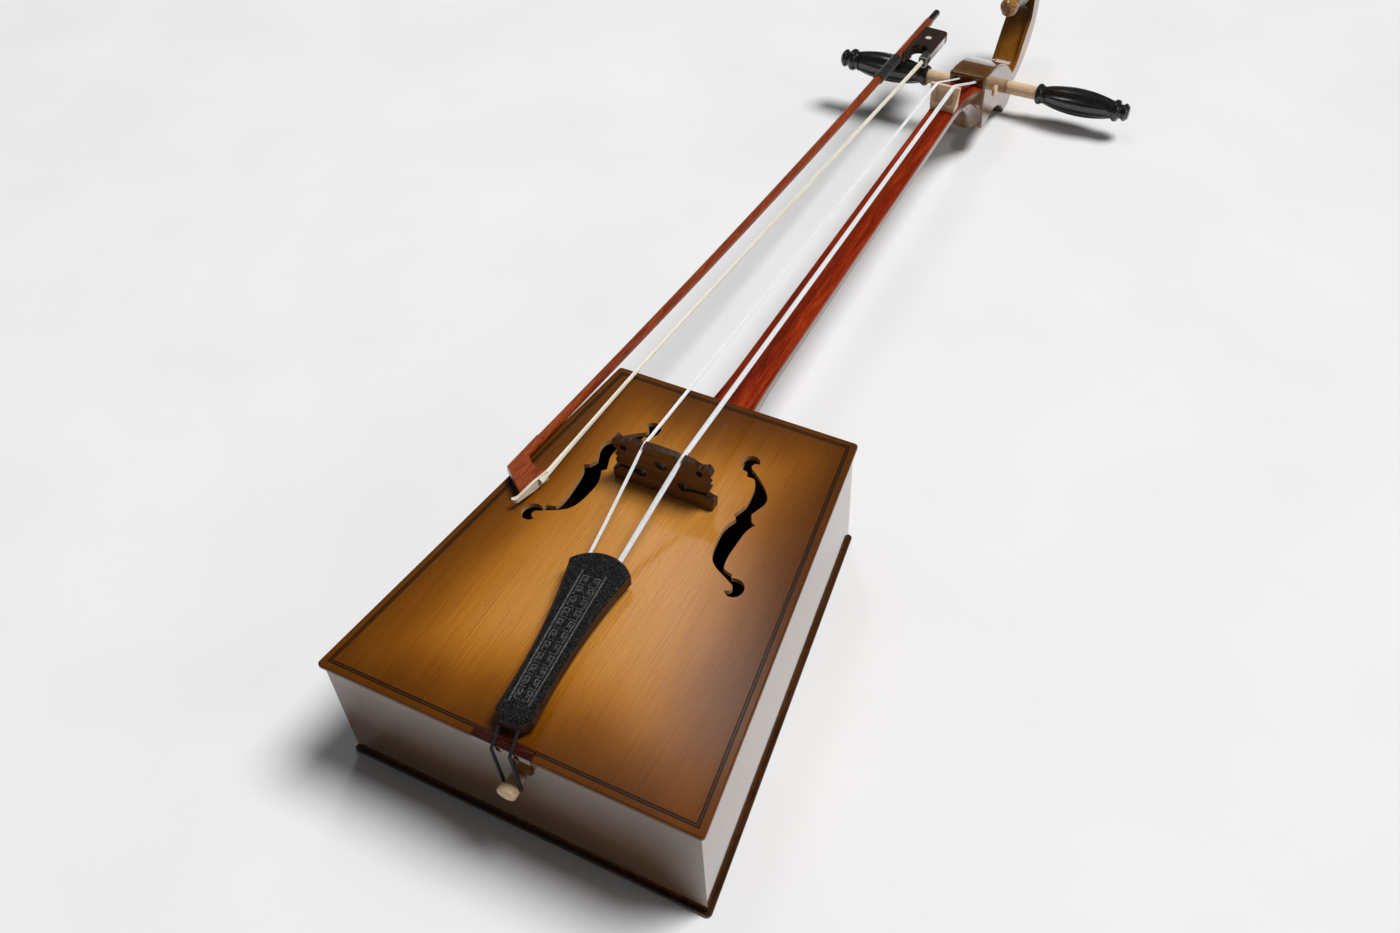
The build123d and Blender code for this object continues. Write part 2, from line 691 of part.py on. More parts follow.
def peg_shaft(side):
    """The maple shaft: a tapered length in the pegbox and a plain one outside it."""
    y, z = LEFT_PEG if side < 0 else RIGHT_PEG
    cheek_x = NECK_X + side * (PEGBOX_HALF_WIDTH + 0.5)
    handle_x = peg_place(side).position.X + side * 16
    length = abs(handle_x - cheek_x)
    turn = Rot(0, -90, 0) if side < 0 else Rot(0, 90, 0)
    outer = Cylinder(PEG_BIG_RADIUS, length - 0.01, align=(Align.CENTER, Align.CENTER, Align.MIN))
    outer = chamfer(outer.edges().sort_by(Axis.Z)[0], 0.49)
    return peg_cone(side, 0) + Pos(cheek_x, y, z) * turn * outer


def string_winding(side):
    """Turns of string wound on the peg inside the pegbox."""
    y, z = LEFT_PEG if side < 0 else RIGHT_PEG
    radius = THIN_STRING if side < 0 else THICK_STRING
    outermost = NECK_X + side * NUT_SPACING / 2
    turns = Part()
    for step in range(3):
        x = outermost - side * step * 1.8 * radius
        ring = Torus(PEG_BIG_RADIUS - 0.6 + radius, radius)
        turns += along_x(ring, x, y, z)
    return turns


# ---------------------------------------------------------------- bow
# The bow is drawn in its own plane: x runs along the chord of the stick from the corner of
# its head towards the frog, y points to the hair, and z is its thickness, pointing down.
bow_axis = (Vector(*BOW_BUTT) - Vector(*BOW_TIP)).normalized()
bow_plane = Plane(Vector(*BOW_TIP), x_dir=bow_axis, z_dir=(0, bow_axis.Z / bow_axis.Y, -1))
# Along the straight butt, x keeps its value and y = 0 is the axis of the screw.
butt_place = Pos(BUTT_START, BUTT_OFFSET, 0) * Rot(0, 0, math.degrees(math.atan(BUTT_SLOPE)))
butt_place *= Pos(-BUTT_START, 0, 0)

STICK_TIP_RADIUS = 3.6
STICK_BUTT_RADIUS = 4.3
SCREW_RADIUS = 1.6
HEAD_THICKNESS = 8.0
HAIR_TIP = (-6.0, 25.5)
HAIR_FROG = (FROG_START + 25, 28.8)
HAIR_ON_EDGE = 132.0  # where the hair lies over the soundboard's edge
HAIR_LIFT = 4.7  # how far that edge lifts it
GRIP_START, GRIP_END = 646.0, 697.0
SLIDE = 3.0  # travel of the frog each way
FIT = 0.35  # clearance round the parts that the frog carries along


def in_bow(shape):
    return bow_plane * shape


def in_butt(shape):
    return bow_plane * butt_place * shape


def flat_profile(edges, thickness):
    return extrude(make_face(edges), thickness / 2, both=True)


def bow_head():
    """The head block at the tip, swept back to a nose under the hair."""
    outline = [
        Line((-3, -3.5), (-21.7, 20.9)),
        Line((-21.7, 20.9), (4.5, 25)),
        ThreePointArc((4.5, 25), (9.5, 8), (34, 4)),
        Line((34, 4), (34, -3.0)),
        Line((34, -3.0), (-3, -3.5)),
    ]
    head = flat_profile(outline, HEAD_THICKNESS)
    back = head.edges().filter_by(lambda edge: edge.center().Y < -3 and abs(edge.center().Z) > 1)
    head = chamfer(back, 2.2)
    wide = HEAD_THICKNESS / 2
    taper = Polyline((-30, -wide), (6, -wide), (36, -3.4), (36, 3.4), (6, wide), (-30, wide), close=True)
    return head & extrude(Plane.XZ * make_face(taper), 60, both=True)


def stick_curve():
    """The stick's axis between the head and the butt: an arc bent towards the hair."""
    end = Vector(BUTT_START, BUTT_OFFSET)
    arc = TangentArc(end, (0, 0), tangent=(-1, -BUTT_SLOPE))
    return arc


def curved_shaft():
    path = stick_curve()
    thick = Plane(path @ 0, z_dir=path % 0) * Circle(STICK_BUTT_RADIUS)
    thin = Plane(path @ 1, z_dir=path % 1) * Circle(STICK_TIP_RADIUS)
    return sweep([thick, thin], path=path, multisection=True)


def straight_butt(length):
    """The eight-sided butt, starting where the curve ends."""
    section = RegularPolygon(STICK_BUTT_RADIUS, 8, major_radius=False, rotation=22.5)
    return butt_place * along_x(extrude(section, length), BUTT_START, 0, 0)


def bow_stick():
    """Head, curved shaft and eight-sided butt, bored for the screw and slotted for its nut."""
    stick = bow_head() + curved_shaft() + straight_butt(STICK_END - BUTT_START)
    bore_length = 78
    bore = Cylinder(SCREW_RADIUS + RUNNING, bore_length, align=(Align.CENTER, Align.CENTER, Align.MIN))
    stick -= butt_place * along_x(bore, STICK_END - bore_length, 0, 0)
    slot = Pos(NUT_X, 2.6, 0) * Box(7 + 2 * SLIDE + 2 * FIT, 11.2, 4.2 + 2 * RUNNING)
    stick -= butt_place * slot
    return in_bow(stick)


def bow_tip_plate():
    """The bone face of the head, curling up at the nose."""
    outline = [
        Line((4.5, 25), (-21.7, 20.9)),
        ThreePointArc((-21.7, 20.9), (-25.3, 19.9), (-27.6, 17.6)),
        Line((-27.6, 17.6), (-29, 18.6)),
        ThreePointArc((-29, 18.6), (-28.6, 21), (-25, 22.6)),
        Line((-25, 22.6), (4.5, 26.8)),
        Line((4.5, 26.8), (4.5, 25)),
    ]
    plate_body = flat_profile(outline, HEAD_THICKNESS)
    wide = HEAD_THICKNESS / 2
    width = Polyline((-31, -1.2), (-24, -2.2), (-10, -wide), (6, -wide), (6, wide), (-10, wide), (-24, 2.2),
                     (-31, 1.2), close=True)
    plate_body &= extrude(Plane.XZ * make_face(width), 60, both=True)
    return in_bow(plate_body - hair_ribbon())


def hair_section(x, width, thickness, lift=0.0):
    """The hair's flat section at one place between the head and the frog."""
    (x0, y0), (x1, y1) = HAIR_TIP, HAIR_FROG
    y = y0 + (y1 - y0) * (x - x0) / (x1 - x0)
    place = Plane((x, y, -lift), x_dir=(0, 1, 0), z_dir=(1, 0, 0))
    return place * RectangleRounded(thickness, width, thickness * 0.4)


def hair_ribbon():
    sections = [
        hair_section(HAIR_TIP[0], 6.4, 2.6),
        hair_section(60, 4.6, 1.6, HAIR_LIFT * 0.5),
        hair_section(HAIR_ON_EDGE, 4.4, 1.6, HAIR_LIFT),
        hair_section(HAIR_FROG[0], 5.6, 1.6),
    ]
    return loft(sections, ruled=True)


def bow_hair():
    return in_bow(hair_ribbon() - bow_head())


def bow_grip():
    """The leather sleeve where the fingers hold the stick."""
    sleeve = Cylinder(5.4, GRIP_END - GRIP_START, align=(Align.CENTER, Align.CENTER, Align.MIN))
    sleeve = butt_place * along_x(fillet(sleeve.edges(), 0.5), GRIP_START, 0, 0)
    return in_bow(sleeve - curved_shaft() - straight_butt(60))


NUT_X = FROG_START + 38
PEARL = (FROG_START + 45, 16.4)
FERRULE_LOW, FERRULE_HIGH = 22.6, 31.6
FERRULE_LENGTH = 12.0


def frog_block():
    """The frog's outline: a C-shaped thumb hollow in front and a rounded heel."""
    top = STICK_BUTT_RADIUS + RUNNING
    x = FROG_START
    outline = [
        Line((x + 2, top), (x + 69.5, top)),
        Line((x + 69.5, top), (x + 68, 25)),
        ThreePointArc((x + 68, 25), (x + 66.2, 29.2), (x + 62, 31)),
        Line((x + 62, 31), (x + 1, 31)),
        Line((x + 1, 31), (x + 1, 23.4)),
        Line((x + 1, 23.4), (x + 14, 23.4)),
        ThreePointArc((x + 14, 23.4), (x + 26.5, 17), (x + 14, 10)),
        Line((x + 14, 10), (x + 3, 8)),
        ThreePointArc((x + 3, 8), (x + 1.4, 6), (x + 2, top)),
    ]
    block = flat_profile(outline, FROG_THICKNESS)
    heel = block.edges().filter_by(lambda edge: edge.center().X > x + 60 and edge.center().Y > 10)
    return fillet(heel.filter_by(lambda edge: abs(edge.center().Z) > 4.9), 1.2)


def ferrule_band():
    """The outer form of the D-shaped band that spreads the hair."""
    size = Box(FERRULE_LENGTH, FERRULE_HIGH - FERRULE_LOW, FROG_THICKNESS + 1.2,
               align=(Align.MIN, Align.CENTER, Align.CENTER))
    size = fillet(size.edges().filter_by(Axis.X), 2.4)
    return Pos(FROG_START, (FERRULE_LOW + FERRULE_HIGH) / 2, 0) * size


def frog_tongue():
    """The part of the frog inside the ferrule."""
    size = Box(FERRULE_LENGTH, FERRULE_HIGH - FERRULE_LOW - 1.2, FROG_THICKNESS,
               align=(Align.MIN, Align.CENTER, Align.CENTER))
    size = fillet(size.edges().filter_by(Axis.X), 1.9)
    return Pos(FROG_START, (FERRULE_LOW + FERRULE_HIGH) / 2, 0) * size


def frog():
    """Ebony frog, stepped down to carry the ferrule and hollow for the end of the hair."""
    body = frog_block() - ferrule_band() + frog_tongue()
    body -= Pos(FROG_START, 27.2, 0) * Box(31, 3.4, 7.4, align=(Align.MIN, Align.CENTER, Align.CENTER))
    body -= Pos(NUT_X, 9, 0) * Rot(90, 0, 0) * Cylinder(1.5, 12)
    return in_butt(body - pearl_discs() - slide_strip())


def pearl_discs():
    """Round inlays, one in each side of the frog."""
    discs = Part()
    for side in (-1, 1):
        discs += Pos(*PEARL, side * (FROG_THICKNESS / 2 - 0.6)) * Cylinder(3.4, 1.2)
    return discs


def pearl_eyes():
    return in_butt(pearl_discs())


def slide_strip():
    """The pearl-faced strip that closes the frog's hair channel."""
    strip = Box(44, 1.3, 6.6, align=(Align.MIN, Align.MAX, Align.CENTER))
    return Pos(FROG_START + FERRULE_LENGTH, 31, 0) * strip


def hair_slide():
    return in_butt(slide_strip())


def ferrule():
    return in_butt(ferrule_band() - frog_tongue())


def screw_nut():
    """The brass eyelet: a threaded block in the stick's slot on a stem in the frog."""
    block = Pos(NUT_X, 0.8, 0) * Box(7, 6.8, 4.2)
    stem = Pos(NUT_X, 9, 0) * Rot(90, 0, 0) * Cylinder(1.5, 11.9)
    bore = along_x(Cylinder(SCREW_RADIUS + RUNNING, 20), NUT_X, 0, 0)
    return in_butt(block + stem - bore)


def bow_screw():
    """The steel screw that draws the frog along the stick."""
    length = 76
    rod = Cylinder(SCREW_RADIUS, length, align=(Align.CENTER, Align.CENTER, Align.MIN))
    return in_butt(along_x(rod, STICK_END - length + 8, 0, 0))


def screw_button():
    """The ebony end button on the screw."""
    profile = [
        Line((0, 0.3), (4.3, 0.3)),
        Line((4.3, 0.3), (4.0, 4)),
        Line((4.0, 4), (3.8, 23)),
        ThreePointArc((3.8, 23), (3.2, 25.9), (1, 27.5)),
        Line((1, 27.5), (0, 27.5)),
        Line((0, 27.5), (0, 0.3)),
    ]
    knob = revolve(Plane.XZ * make_face(profile), Axis.Z)
    knob -= Cylinder(SCREW_RADIUS, 8, align=(Align.CENTER, Align.CENTER, Align.MIN))
    return in_butt(along_x(knob, STICK_END, 0, 0))


# ---------------------------------------------------------------- the whole instrument
PIECES = {
    "back_plate": lambda: plate(0, BACK_PLATE),
    "soundboard": soundboard,
    "purfling": purfling,
    "rib_tail": rib_tail,
    "rib_head": rib_head,
    "rib_left": lambda: rib_side(-1),
    "rib_right": lambda: rib_side(1),
    "corner_blocks": corner_blocks,
    "front_linings": lambda: linings(RIB_HIGH - 8),
    "back_linings": lambda: linings(RIB_LOW),
    "tail_block": tail_block,
    "neck_block": neck_block,
    "bass_bar": bass_bar,
    "sound_post": sound_post,
    "tail_button": tail_button,
    "lower_saddle": lower_saddle,
    "neck": neck,
    "fingerboard": fingerboard,
    "upper_bridge": upper_bridge,
    "bridge": bridge,
    "tailpiece": tailpiece,
    "tail_cord": tail_cord,
    "thin_string": lambda: string(0),
    "thick_string": lambda: string(1),
    "pegbox": pegbox,
    "horse_neck": horse_neck,
    "horse_head": horse_head,
    "horse_eyes": horse_eyes,
    "mane": mane,
    "screw_eye": screw_eye,
    "left_peg_shaft": lambda: peg_shaft(-1),
    "left_peg_handle": lambda: peg_handle(-1),
    "left_string_winding": lambda: string_winding(-1),
    "right_peg_shaft": lambda: peg_shaft(1),
    "right_peg_handle": lambda: peg_handle(1),
    "right_string_winding": lambda: string_winding(1),
    "bow_stick": bow_stick,
    "bow_tip_plate": bow_tip_plate,
    "bow_hair": bow_hair,
    "bow_grip": bow_grip,
    "frog": frog,
    "ferrule": ferrule,
    "pearl_eyes": pearl_eyes,
    "hair_slide": hair_slide,
    "screw_nut": screw_nut,
    "bow_screw": bow_screw,
    "screw_button": screw_button,
}

for piece_name, make in PIECES.items():
    save(piece_name, make())
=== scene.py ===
# The look of the horse-head fiddle and its bow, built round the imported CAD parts.
import json
import math
import random

import bmesh
import bpy
import numpy as np
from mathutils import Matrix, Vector


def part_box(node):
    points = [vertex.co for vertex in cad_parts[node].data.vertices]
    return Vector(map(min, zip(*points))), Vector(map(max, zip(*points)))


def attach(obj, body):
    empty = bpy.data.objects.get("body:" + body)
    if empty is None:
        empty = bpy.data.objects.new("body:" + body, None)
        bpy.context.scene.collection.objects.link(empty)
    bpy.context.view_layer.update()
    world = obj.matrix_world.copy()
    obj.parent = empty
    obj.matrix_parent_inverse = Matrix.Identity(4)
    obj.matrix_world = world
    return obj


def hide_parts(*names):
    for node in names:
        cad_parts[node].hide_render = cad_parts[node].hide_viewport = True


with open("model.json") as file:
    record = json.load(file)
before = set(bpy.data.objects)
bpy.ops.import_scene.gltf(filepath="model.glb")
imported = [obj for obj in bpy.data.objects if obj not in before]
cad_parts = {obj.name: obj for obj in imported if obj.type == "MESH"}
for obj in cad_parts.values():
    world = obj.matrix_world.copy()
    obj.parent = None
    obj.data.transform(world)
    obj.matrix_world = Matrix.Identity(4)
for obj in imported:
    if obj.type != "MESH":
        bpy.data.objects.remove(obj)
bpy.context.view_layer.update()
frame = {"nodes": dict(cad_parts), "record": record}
nodes = frame["nodes"]
random.seed(7)

# The frame's origin is under the middle of the box; the box's tail edge is at Y = -TAIL.
TAIL = 0.163
HALF_TAIL = 0.140
HALF_HEAD = 0.0996
NECK_X = -0.0045
FULL_TURN = 2 * math.pi


# ---------------------------------------------------------------- node materials
class Shade:
    """A principled material with short calls for the nodes that feed it."""

    def __init__(self, name, **principled):
        self.material = bpy.data.materials.new(name)
        self.material.use_nodes = True
        self.tree = self.material.node_tree
        self.tree.nodes.clear()
        output = self.tree.nodes.new("ShaderNodeOutputMaterial")
        self.surface = self.tree.nodes.new("ShaderNodeBsdfPrincipled")
        self.tree.links.new(self.surface.outputs["BSDF"], output.inputs["Surface"])
        self.place = self.tree.nodes.new("ShaderNodeTexCoord").outputs["Object"]
        self.set(**principled)

    def base_colour(self):
        """The socket that feeds the base colour so far."""
        return self.surface.inputs["Base Color"].links[0].from_socket

    def put(self, socket, value):
        """Link a socket to another, or set its constant."""
        if isinstance(value, bpy.types.NodeSocket):
            self.tree.links.new(value, socket)
        elif isinstance(value, tuple) and len(value) == 3 and socket.type == "RGBA":
            socket.default_value = (*value, 1)
        else:
            socket.default_value = value

    def set(self, **values):
        """Feed the principled surface's inputs, with _ for each space of a name."""
        for key, value in values.items():
            self.put(self.surface.inputs[key.replace("_", " ")], value)

    def node(self, kind, **values):
        """A new node with its inputs fed and its other properties set."""
        made = self.tree.nodes.new("ShaderNode" + kind)
        for key, value in values.items():
            name = key.replace("_", " ")
            if name in made.inputs:
                self.put(made.inputs[name], value)
            else:
                setattr(made, key, value)
        return made

    def scaled(self, x, y, z, turn=(0, 0, 0)):
        """Object coordinates, stretched and turned."""
        mapping = self.node("Mapping", Vector=self.place, Scale=(x, y, z), Rotation=turn)
        return mapping.outputs["Vector"]

    def noise(self, vector, scale, detail, rough, distortion=0.0):
        made = self.node("TexNoise", Vector=vector, Scale=scale, Detail=detail, Roughness=rough,
                         Distortion=distortion)
        return made.outputs["Fac"]

    def wave(self, vector, scale, distortion, detail, direction="X"):
        made = self.node("TexWave", Vector=vector, Scale=scale, Distortion=distortion, Detail=detail)
        made.bands_direction = direction
        return made.outputs["Fac"]

    def cells(self, vector, scale, feature="F1"):
        made = self.node("TexVoronoi", Vector=vector, Scale=scale, feature=feature)
        return made.outputs["Distance"]

    def math(self, operation, a, b=0.0, c=0.0):
        made = self.tree.nodes.new("ShaderNodeMath")
        made.operation = operation
        for index, number in enumerate((a, b, c)):
            self.put(made.inputs[index], number)
        return made.outputs[0]

    def facing(self, index):
        """How far the surface faces along one axis: 1 towards it, -1 away."""
        normal = self.node("NewGeometry").outputs["True Normal"]
        return self.node("SeparateXYZ", Vector=normal).outputs[index]

    def xyz(self):
        split = self.node("SeparateXYZ", Vector=self.place)
        return split.outputs[0], split.outputs[1], split.outputs[2]

    def smooth(self, value, low, high, to_low=0.0, to_high=1.0):
        """A smooth step from to_low, where value is low, to to_high, where it is high."""
        made = self.node("MapRange")
        made.interpolation_type = "SMOOTHSTEP"
        self.put(made.inputs[0], value)
        for index, number in enumerate((low, high, to_low, to_high), start=1):
            self.put(made.inputs[index], number)
        return made.outputs[0]

    def ramp(self, value, *stops):
        """A colour for each value, through stops that are a position and a colour each."""
        made = self.node("ValToRGB")
        self.put(made.inputs[0], value)
        elements = made.color_ramp.elements
        while len(elements) < len(stops):
            elements.new(0.5)
        for element, (position, colour) in zip(elements, stops):
            element.position = position
            element.color = (*colour, 1)
        return made.outputs[0]

    def mix(self, factor, a, b, blend="MIX"):
        made = self.tree.nodes.new("ShaderNodeMix")
        made.data_type = "RGBA"
        made.blend_type = blend
        self.put(made.inputs[0], factor)
        self.put(made.inputs[6], a)
        self.put(made.inputs[7], b)
        return made.outputs[2]

    def bump(self, height, distance, under=None):
        made = self.node("Bump", Height=height, Distance=distance, Strength=1.0)
        if under is not None:
            self.put(made.inputs["Normal"], under)
        return made.outputs["Normal"]

    def relief(self, *layers):
        """Several bumps, each a height and its depth in metres, one on another."""
        normal = None
        for height, distance in layers:
            normal = self.bump(height, distance, normal)
        self.set(Normal=normal)


def grain_vector(shade, axis, stretch):
    """Object coordinates in which the grain's direction is drawn out."""
    scale = [1.0, 1.0, 1.0]
    scale["XYZ".index(axis)] = 1.0 / stretch
    return shade.scaled(*scale)


def darker(colour):
    return tuple(0.55 * value for value in colour)


def wood(name, tones, axis, figure, streaks, pore, rough, **principled):
    """Timber: broad figure, long fibres and fine pores, all drawn out along one axis.

    tones are dark, mid and light. figure is the broad figure's scale, streaks the share of the fibres in
    the colour, pore the depth of the pores in metres, and rough the lowest and the highest roughness.
    """
    dark, mid, light = tones
    shade = Shade(name, **principled)
    broad = shade.noise(grain_vector(shade, axis, 14), figure, 5, 0.6, 0.6)
    fibre = shade.noise(grain_vector(shade, axis, 40), figure * 12, 4, 0.6)
    pores = shade.noise(grain_vector(shade, axis, 22), figure * 40, 2, 0.5)
    tone = shade.math("MULTIPLY_ADD", broad, 1 - streaks, shade.math("MULTIPLY", fibre, streaks))
    colour = shade.ramp(tone, (0.33, dark), (0.5, mid), (0.66, light))
    specks = shade.smooth(pores, 0.32, 0.42)
    colour = shade.mix(specks, darker(dark), colour)
    shade.set(Base_Color=colour, Roughness=shade.smooth(fibre, 0.3, 0.7, *rough))
    shade.relief((fibre, pore), (specks, pore * 1.5))
    return shade


def soundboard_material():
    """Amber lacquer over straight grain, shaded to brown at the board's edges, and bare wood in its holes."""
    shade = Shade("soundboard lacquer", Coat_Weight=0.35, Coat_Roughness=0.17, Specular_IOR_Level=0.10)
    x, y, _ = shade.xyz()
    narrowing = (HALF_TAIL - HALF_HEAD) / (2 * TAIL)
    half = shade.math("MULTIPLY_ADD", y, -narrowing, (HALF_TAIL + HALF_HEAD) / 2)
    from_side = shade.math("SUBTRACT", half, shade.math("ABSOLUTE", x))
    from_end = shade.math("SUBTRACT", TAIL, shade.math("ABSOLUTE", y))

    # The burst follows the edges, with round corners and a cloudy border.
    from_edge = shade.math("SMOOTH_MIN", from_side, from_end, 0.03)
    cloud = shade.noise(shade.scaled(1, 0.35, 1), 14, 3, 0.5)
    spread = shade.math("MULTIPLY_ADD", shade.math("SUBTRACT", cloud, 0.5), 0.05, from_edge)
    burst = shade.ramp(shade.smooth(spread, -0.012, 0.105),
                       (0.0, (0.085, 0.024, 0.001)), (0.3, (0.21, 0.066, 0.003)),
                       (0.65, (0.40, 0.150, 0.014)), (1.0, (0.54, 0.240, 0.048)))

    # Straight grain, faint year rings and short dark flecks.
    fibre = shade.noise(grain_vector(shade, "Y", 45), 900, 5, 0.65)
    rings = shade.wave(shade.scaled(1, 0.03, 1), 120, 2.5, 3.0)
    dashes = shade.noise(grain_vector(shade, "Y", 12), 1500, 2, 0.5)
    tone = shade.math("MULTIPLY_ADD", fibre, 0.88, shade.math("MULTIPLY", rings, 0.12))
    shading = shade.ramp(tone, (0.25, (0.74, 0.66, 0.56)), (0.5, (0.96, 0.95, 0.93)),
                         (0.75, (1.08, 1.08, 1.08)))
    colour = shade.mix(1.0, burst, shading, "MULTIPLY")
    flecks = shade.smooth(dashes, 0.24, 0.36)

    # A stained band from 4.5 to 8 mm inside the edge, and bare wood on the walls of the f-holes.
    border = shade.math("MINIMUM", from_side, from_end)
    outer, inner = shade.smooth(border, 0.0045, 0.0050), shade.smooth(border, 0.0080, 0.0075)
    stain = shade.math("MULTIPLY", shade.math("MULTIPLY", outer, inner), 0.6)
    colour = shade.mix(stain, colour, (0.030, 0.010, 0.002))
    colour = shade.mix(flecks, (0.17, 0.062, 0.010), colour)
    wall = shade.smooth(shade.math("ABSOLUTE", shade.facing(2)), 0.6, 0.3)
    bare = shade.math("MULTIPLY", wall, shade.smooth(from_edge, 0.006, 0.008))
    colour = shade.mix(bare, colour, (0.50, 0.30, 0.15))

    shade.set(Base_Color=colour, Roughness=shade.smooth(fibre, 0.3, 0.7, 0.30, 0.42))
    shade.relief((fibre, 0.00005), (flecks, 0.00006))
    shade.set(Coat_Normal=shade.bump(fibre, 0.00003))
    return shade.material


def lacquered(name, tones, axis):
    """Brown lacquer polished to a mirror, with the wood's figure faint underneath."""
    shade = wood(name, tones, axis, 38, 0.35, 0.00001, (0.10, 0.16),
                 Coat_Weight=1.0, Coat_Roughness=0.035, Coat_IOR=1.5, Specular_IOR_Level=0.12)
    ripple = shade.noise(shade.place, 35, 2, 0.4)
    shade.set(Coat_Normal=shade.bump(ripple, 0.00012))
    return shade


def neck_lacquer_material():
    """Brown lacquer on neck and pegbox, let out to gold in the channel of the horse's neck."""
    tones = ((0.035, 0.011, 0.001), (0.120, 0.044, 0.005), (0.26, 0.110, 0.014))
    shade = lacquered("neck lacquer", tones, "Y")
    _, y, z = shade.xyz()
    channel = shade.math("MULTIPLY", shade.smooth(y, 0.810, 0.825), shade.smooth(z, 0.072, 0.035))
    golden = shade.math("MULTIPLY", channel, 0.6)
    shade.set(Base_Color=shade.mix(golden, shade.base_colour(), (0.30, 0.112, 0.006)))
    return shade.material


def back_lacquer_material():
    tones = ((0.020, 0.007, 0.002), (0.050, 0.018, 0.005), (0.085, 0.032, 0.009))
    return lacquered("back lacquer", tones, "Y").material


def rib_lacquer_material(name, axis):
    """The ribs' lacquer. Its grain runs along axis, so the end ribs and the side ribs each have their own."""
    tones = ((0.055, 0.016, 0.002), (0.115, 0.042, 0.006), (0.17, 0.070, 0.013))
    return lacquered(name, tones, axis).material


def bare_spruce_material():
    tones = ((0.36, 0.22, 0.11), (0.50, 0.34, 0.19), (0.62, 0.46, 0.28))
    return wood("bare spruce", tones, "Y", 60, 0.5, 0.00005, (0.55, 0.7)).material


def fingerboard_material():
    tones = ((0.030, 0.003, 0.001), (0.21, 0.016, 0.002), (0.42, 0.050, 0.006))
    return wood("padauk", tones, "Y", 90, 0.45, 0.00004, (0.34, 0.46), Specular_IOR_Level=0.14).material


def bow_wood_material():
    tones = ((0.065, 0.008, 0.002), (0.23, 0.036, 0.007), (0.40, 0.085, 0.018))
    return wood("bow wood", tones, "Y", 160, 0.55, 0.00004, (0.3, 0.42),
                Coat_Weight=0.25, Coat_Roughness=0.18, Specular_IOR_Level=0.35).material


def maple_material():
    tones = ((0.60, 0.39, 0.215), (0.76, 0.54, 0.335), (0.86, 0.66, 0.45))
    return wood("pale maple", tones, "X", 80, 0.5, 0.00003, (0.42, 0.55)).material


def bridge_material():
    """Stained brown faces, with the saw-cut edges left darker and rougher."""
    tones = ((0.085, 0.032, 0.010), (0.155, 0.066, 0.024), (0.23, 0.110, 0.044))
    shade = wood("stained maple", tones, "X", 90, 0.4, 0.00004, (0.35, 0.45),
                 Coat_Weight=0.15, Coat_Roughness=0.2, Specular_IOR_Level=0.3)
    scrape = shade.noise(shade.scaled(1, 0.3, 1), 700, 4, 0.7)
    edge = shade.ramp(scrape, (0.4, (0.016, 0.006, 0.003)), (0.62, (0.055, 0.024, 0.011)),
                      (0.8, (0.17, 0.095, 0.05)))
    flat = shade.smooth(shade.math("ABSOLUTE", shade.facing(1)), 0.7, 0.95)
    shade.set(Base_Color=shade.mix(flat, edge, shade.base_colour()))
    return shade.material


def carved_black(name, coat, rough):
    """The tailpiece's black finish, without its colour and relief."""
    shade = Shade(name, Coat_Weight=coat, Coat_Roughness=0.12, Specular_IOR_Level=0.2)
    fibre = shade.noise(grain_vector(shade, "Y", 18), 700, 4, 0.6)
    shade.set(Roughness=shade.smooth(fibre, 0.3, 0.7, rough, rough + 0.12))
    return shade


def turned_ebony_material():
    """Polished black handles, with pores that run along X, the pegs' axis."""
    shade = Shade("turned ebony", Coat_Weight=0.7, Coat_Roughness=0.14)
    pores = shade.noise(grain_vector(shade, "X", 14), 900, 3, 0.6)
    colour = shade.ramp(pores, (0.3, (0.004, 0.004, 0.004)), (0.6, (0.012, 0.011, 0.010)),
                        (0.8, (0.03, 0.022, 0.016)))
    shade.set(Base_Color=colour, Roughness=shade.smooth(pores, 0.3, 0.7, 0.24, 0.36))
    shade.relief((pores, 0.00008))
    return shade.material


def tailpiece_material():
    """Black face with a stippled ground, and brown sides left in the bare wood."""
    shade = carved_black("carved ebony", 0.05, 0.4)
    stipple = shade.cells(shade.place, 750)
    grit = shade.noise(shade.place, 1500, 3, 0.7)
    shade.relief((stipple, 0.00018), (grit, 0.0001))
    worn = shade.mix(shade.smooth(grit, 0.54, 0.66), (0.001, 0.001, 0.001), (0.085, 0.085, 0.082))
    fibre = shade.noise(grain_vector(shade, "Y", 30), 500, 4, 0.6)
    flank = shade.ramp(fibre, (0.35, (0.008, 0.004, 0.003)), (0.7, (0.075, 0.038, 0.024)))
    shade.set(Base_Color=shade.mix(shade.smooth(shade.facing(2), 0.25, 0.5), flank, worn))
    return shade.material


def carving_material():
    """The raised edges of the carving, rubbed a little shinier than the ground."""
    shade = carved_black("rubbed carving", 0.8, 0.3)
    grit = shade.noise(shade.place, 1100, 3, 0.7)
    shade.relief((grit, 0.0001))
    shade.set(Base_Color=shade.ramp(grit, (0.38, (0.006, 0.006, 0.006)), (0.70, (0.150, 0.150, 0.145))))
    return shade.material


def frog_material():
    """Brown-black ebony with fine open grain."""
    tones = ((0.008, 0.004, 0.003), (0.022, 0.011, 0.007), (0.060, 0.030, 0.017))
    return wood("frog ebony", tones, "Y", 200, 0.6, 0.00005, (0.3, 0.42),
                Coat_Weight=0.3, Coat_Roughness=0.2).material


def saddle_material():
    tones = ((0.008, 0.001, 0.001), (0.035, 0.004, 0.002), (0.09, 0.012, 0.006))
    return wood("saddle rosewood", tones, "X", 120, 0.5, 0.00003, (0.16, 0.26),
                Coat_Weight=1.0, Coat_Roughness=0.05, Specular_IOR_Level=0.2).material


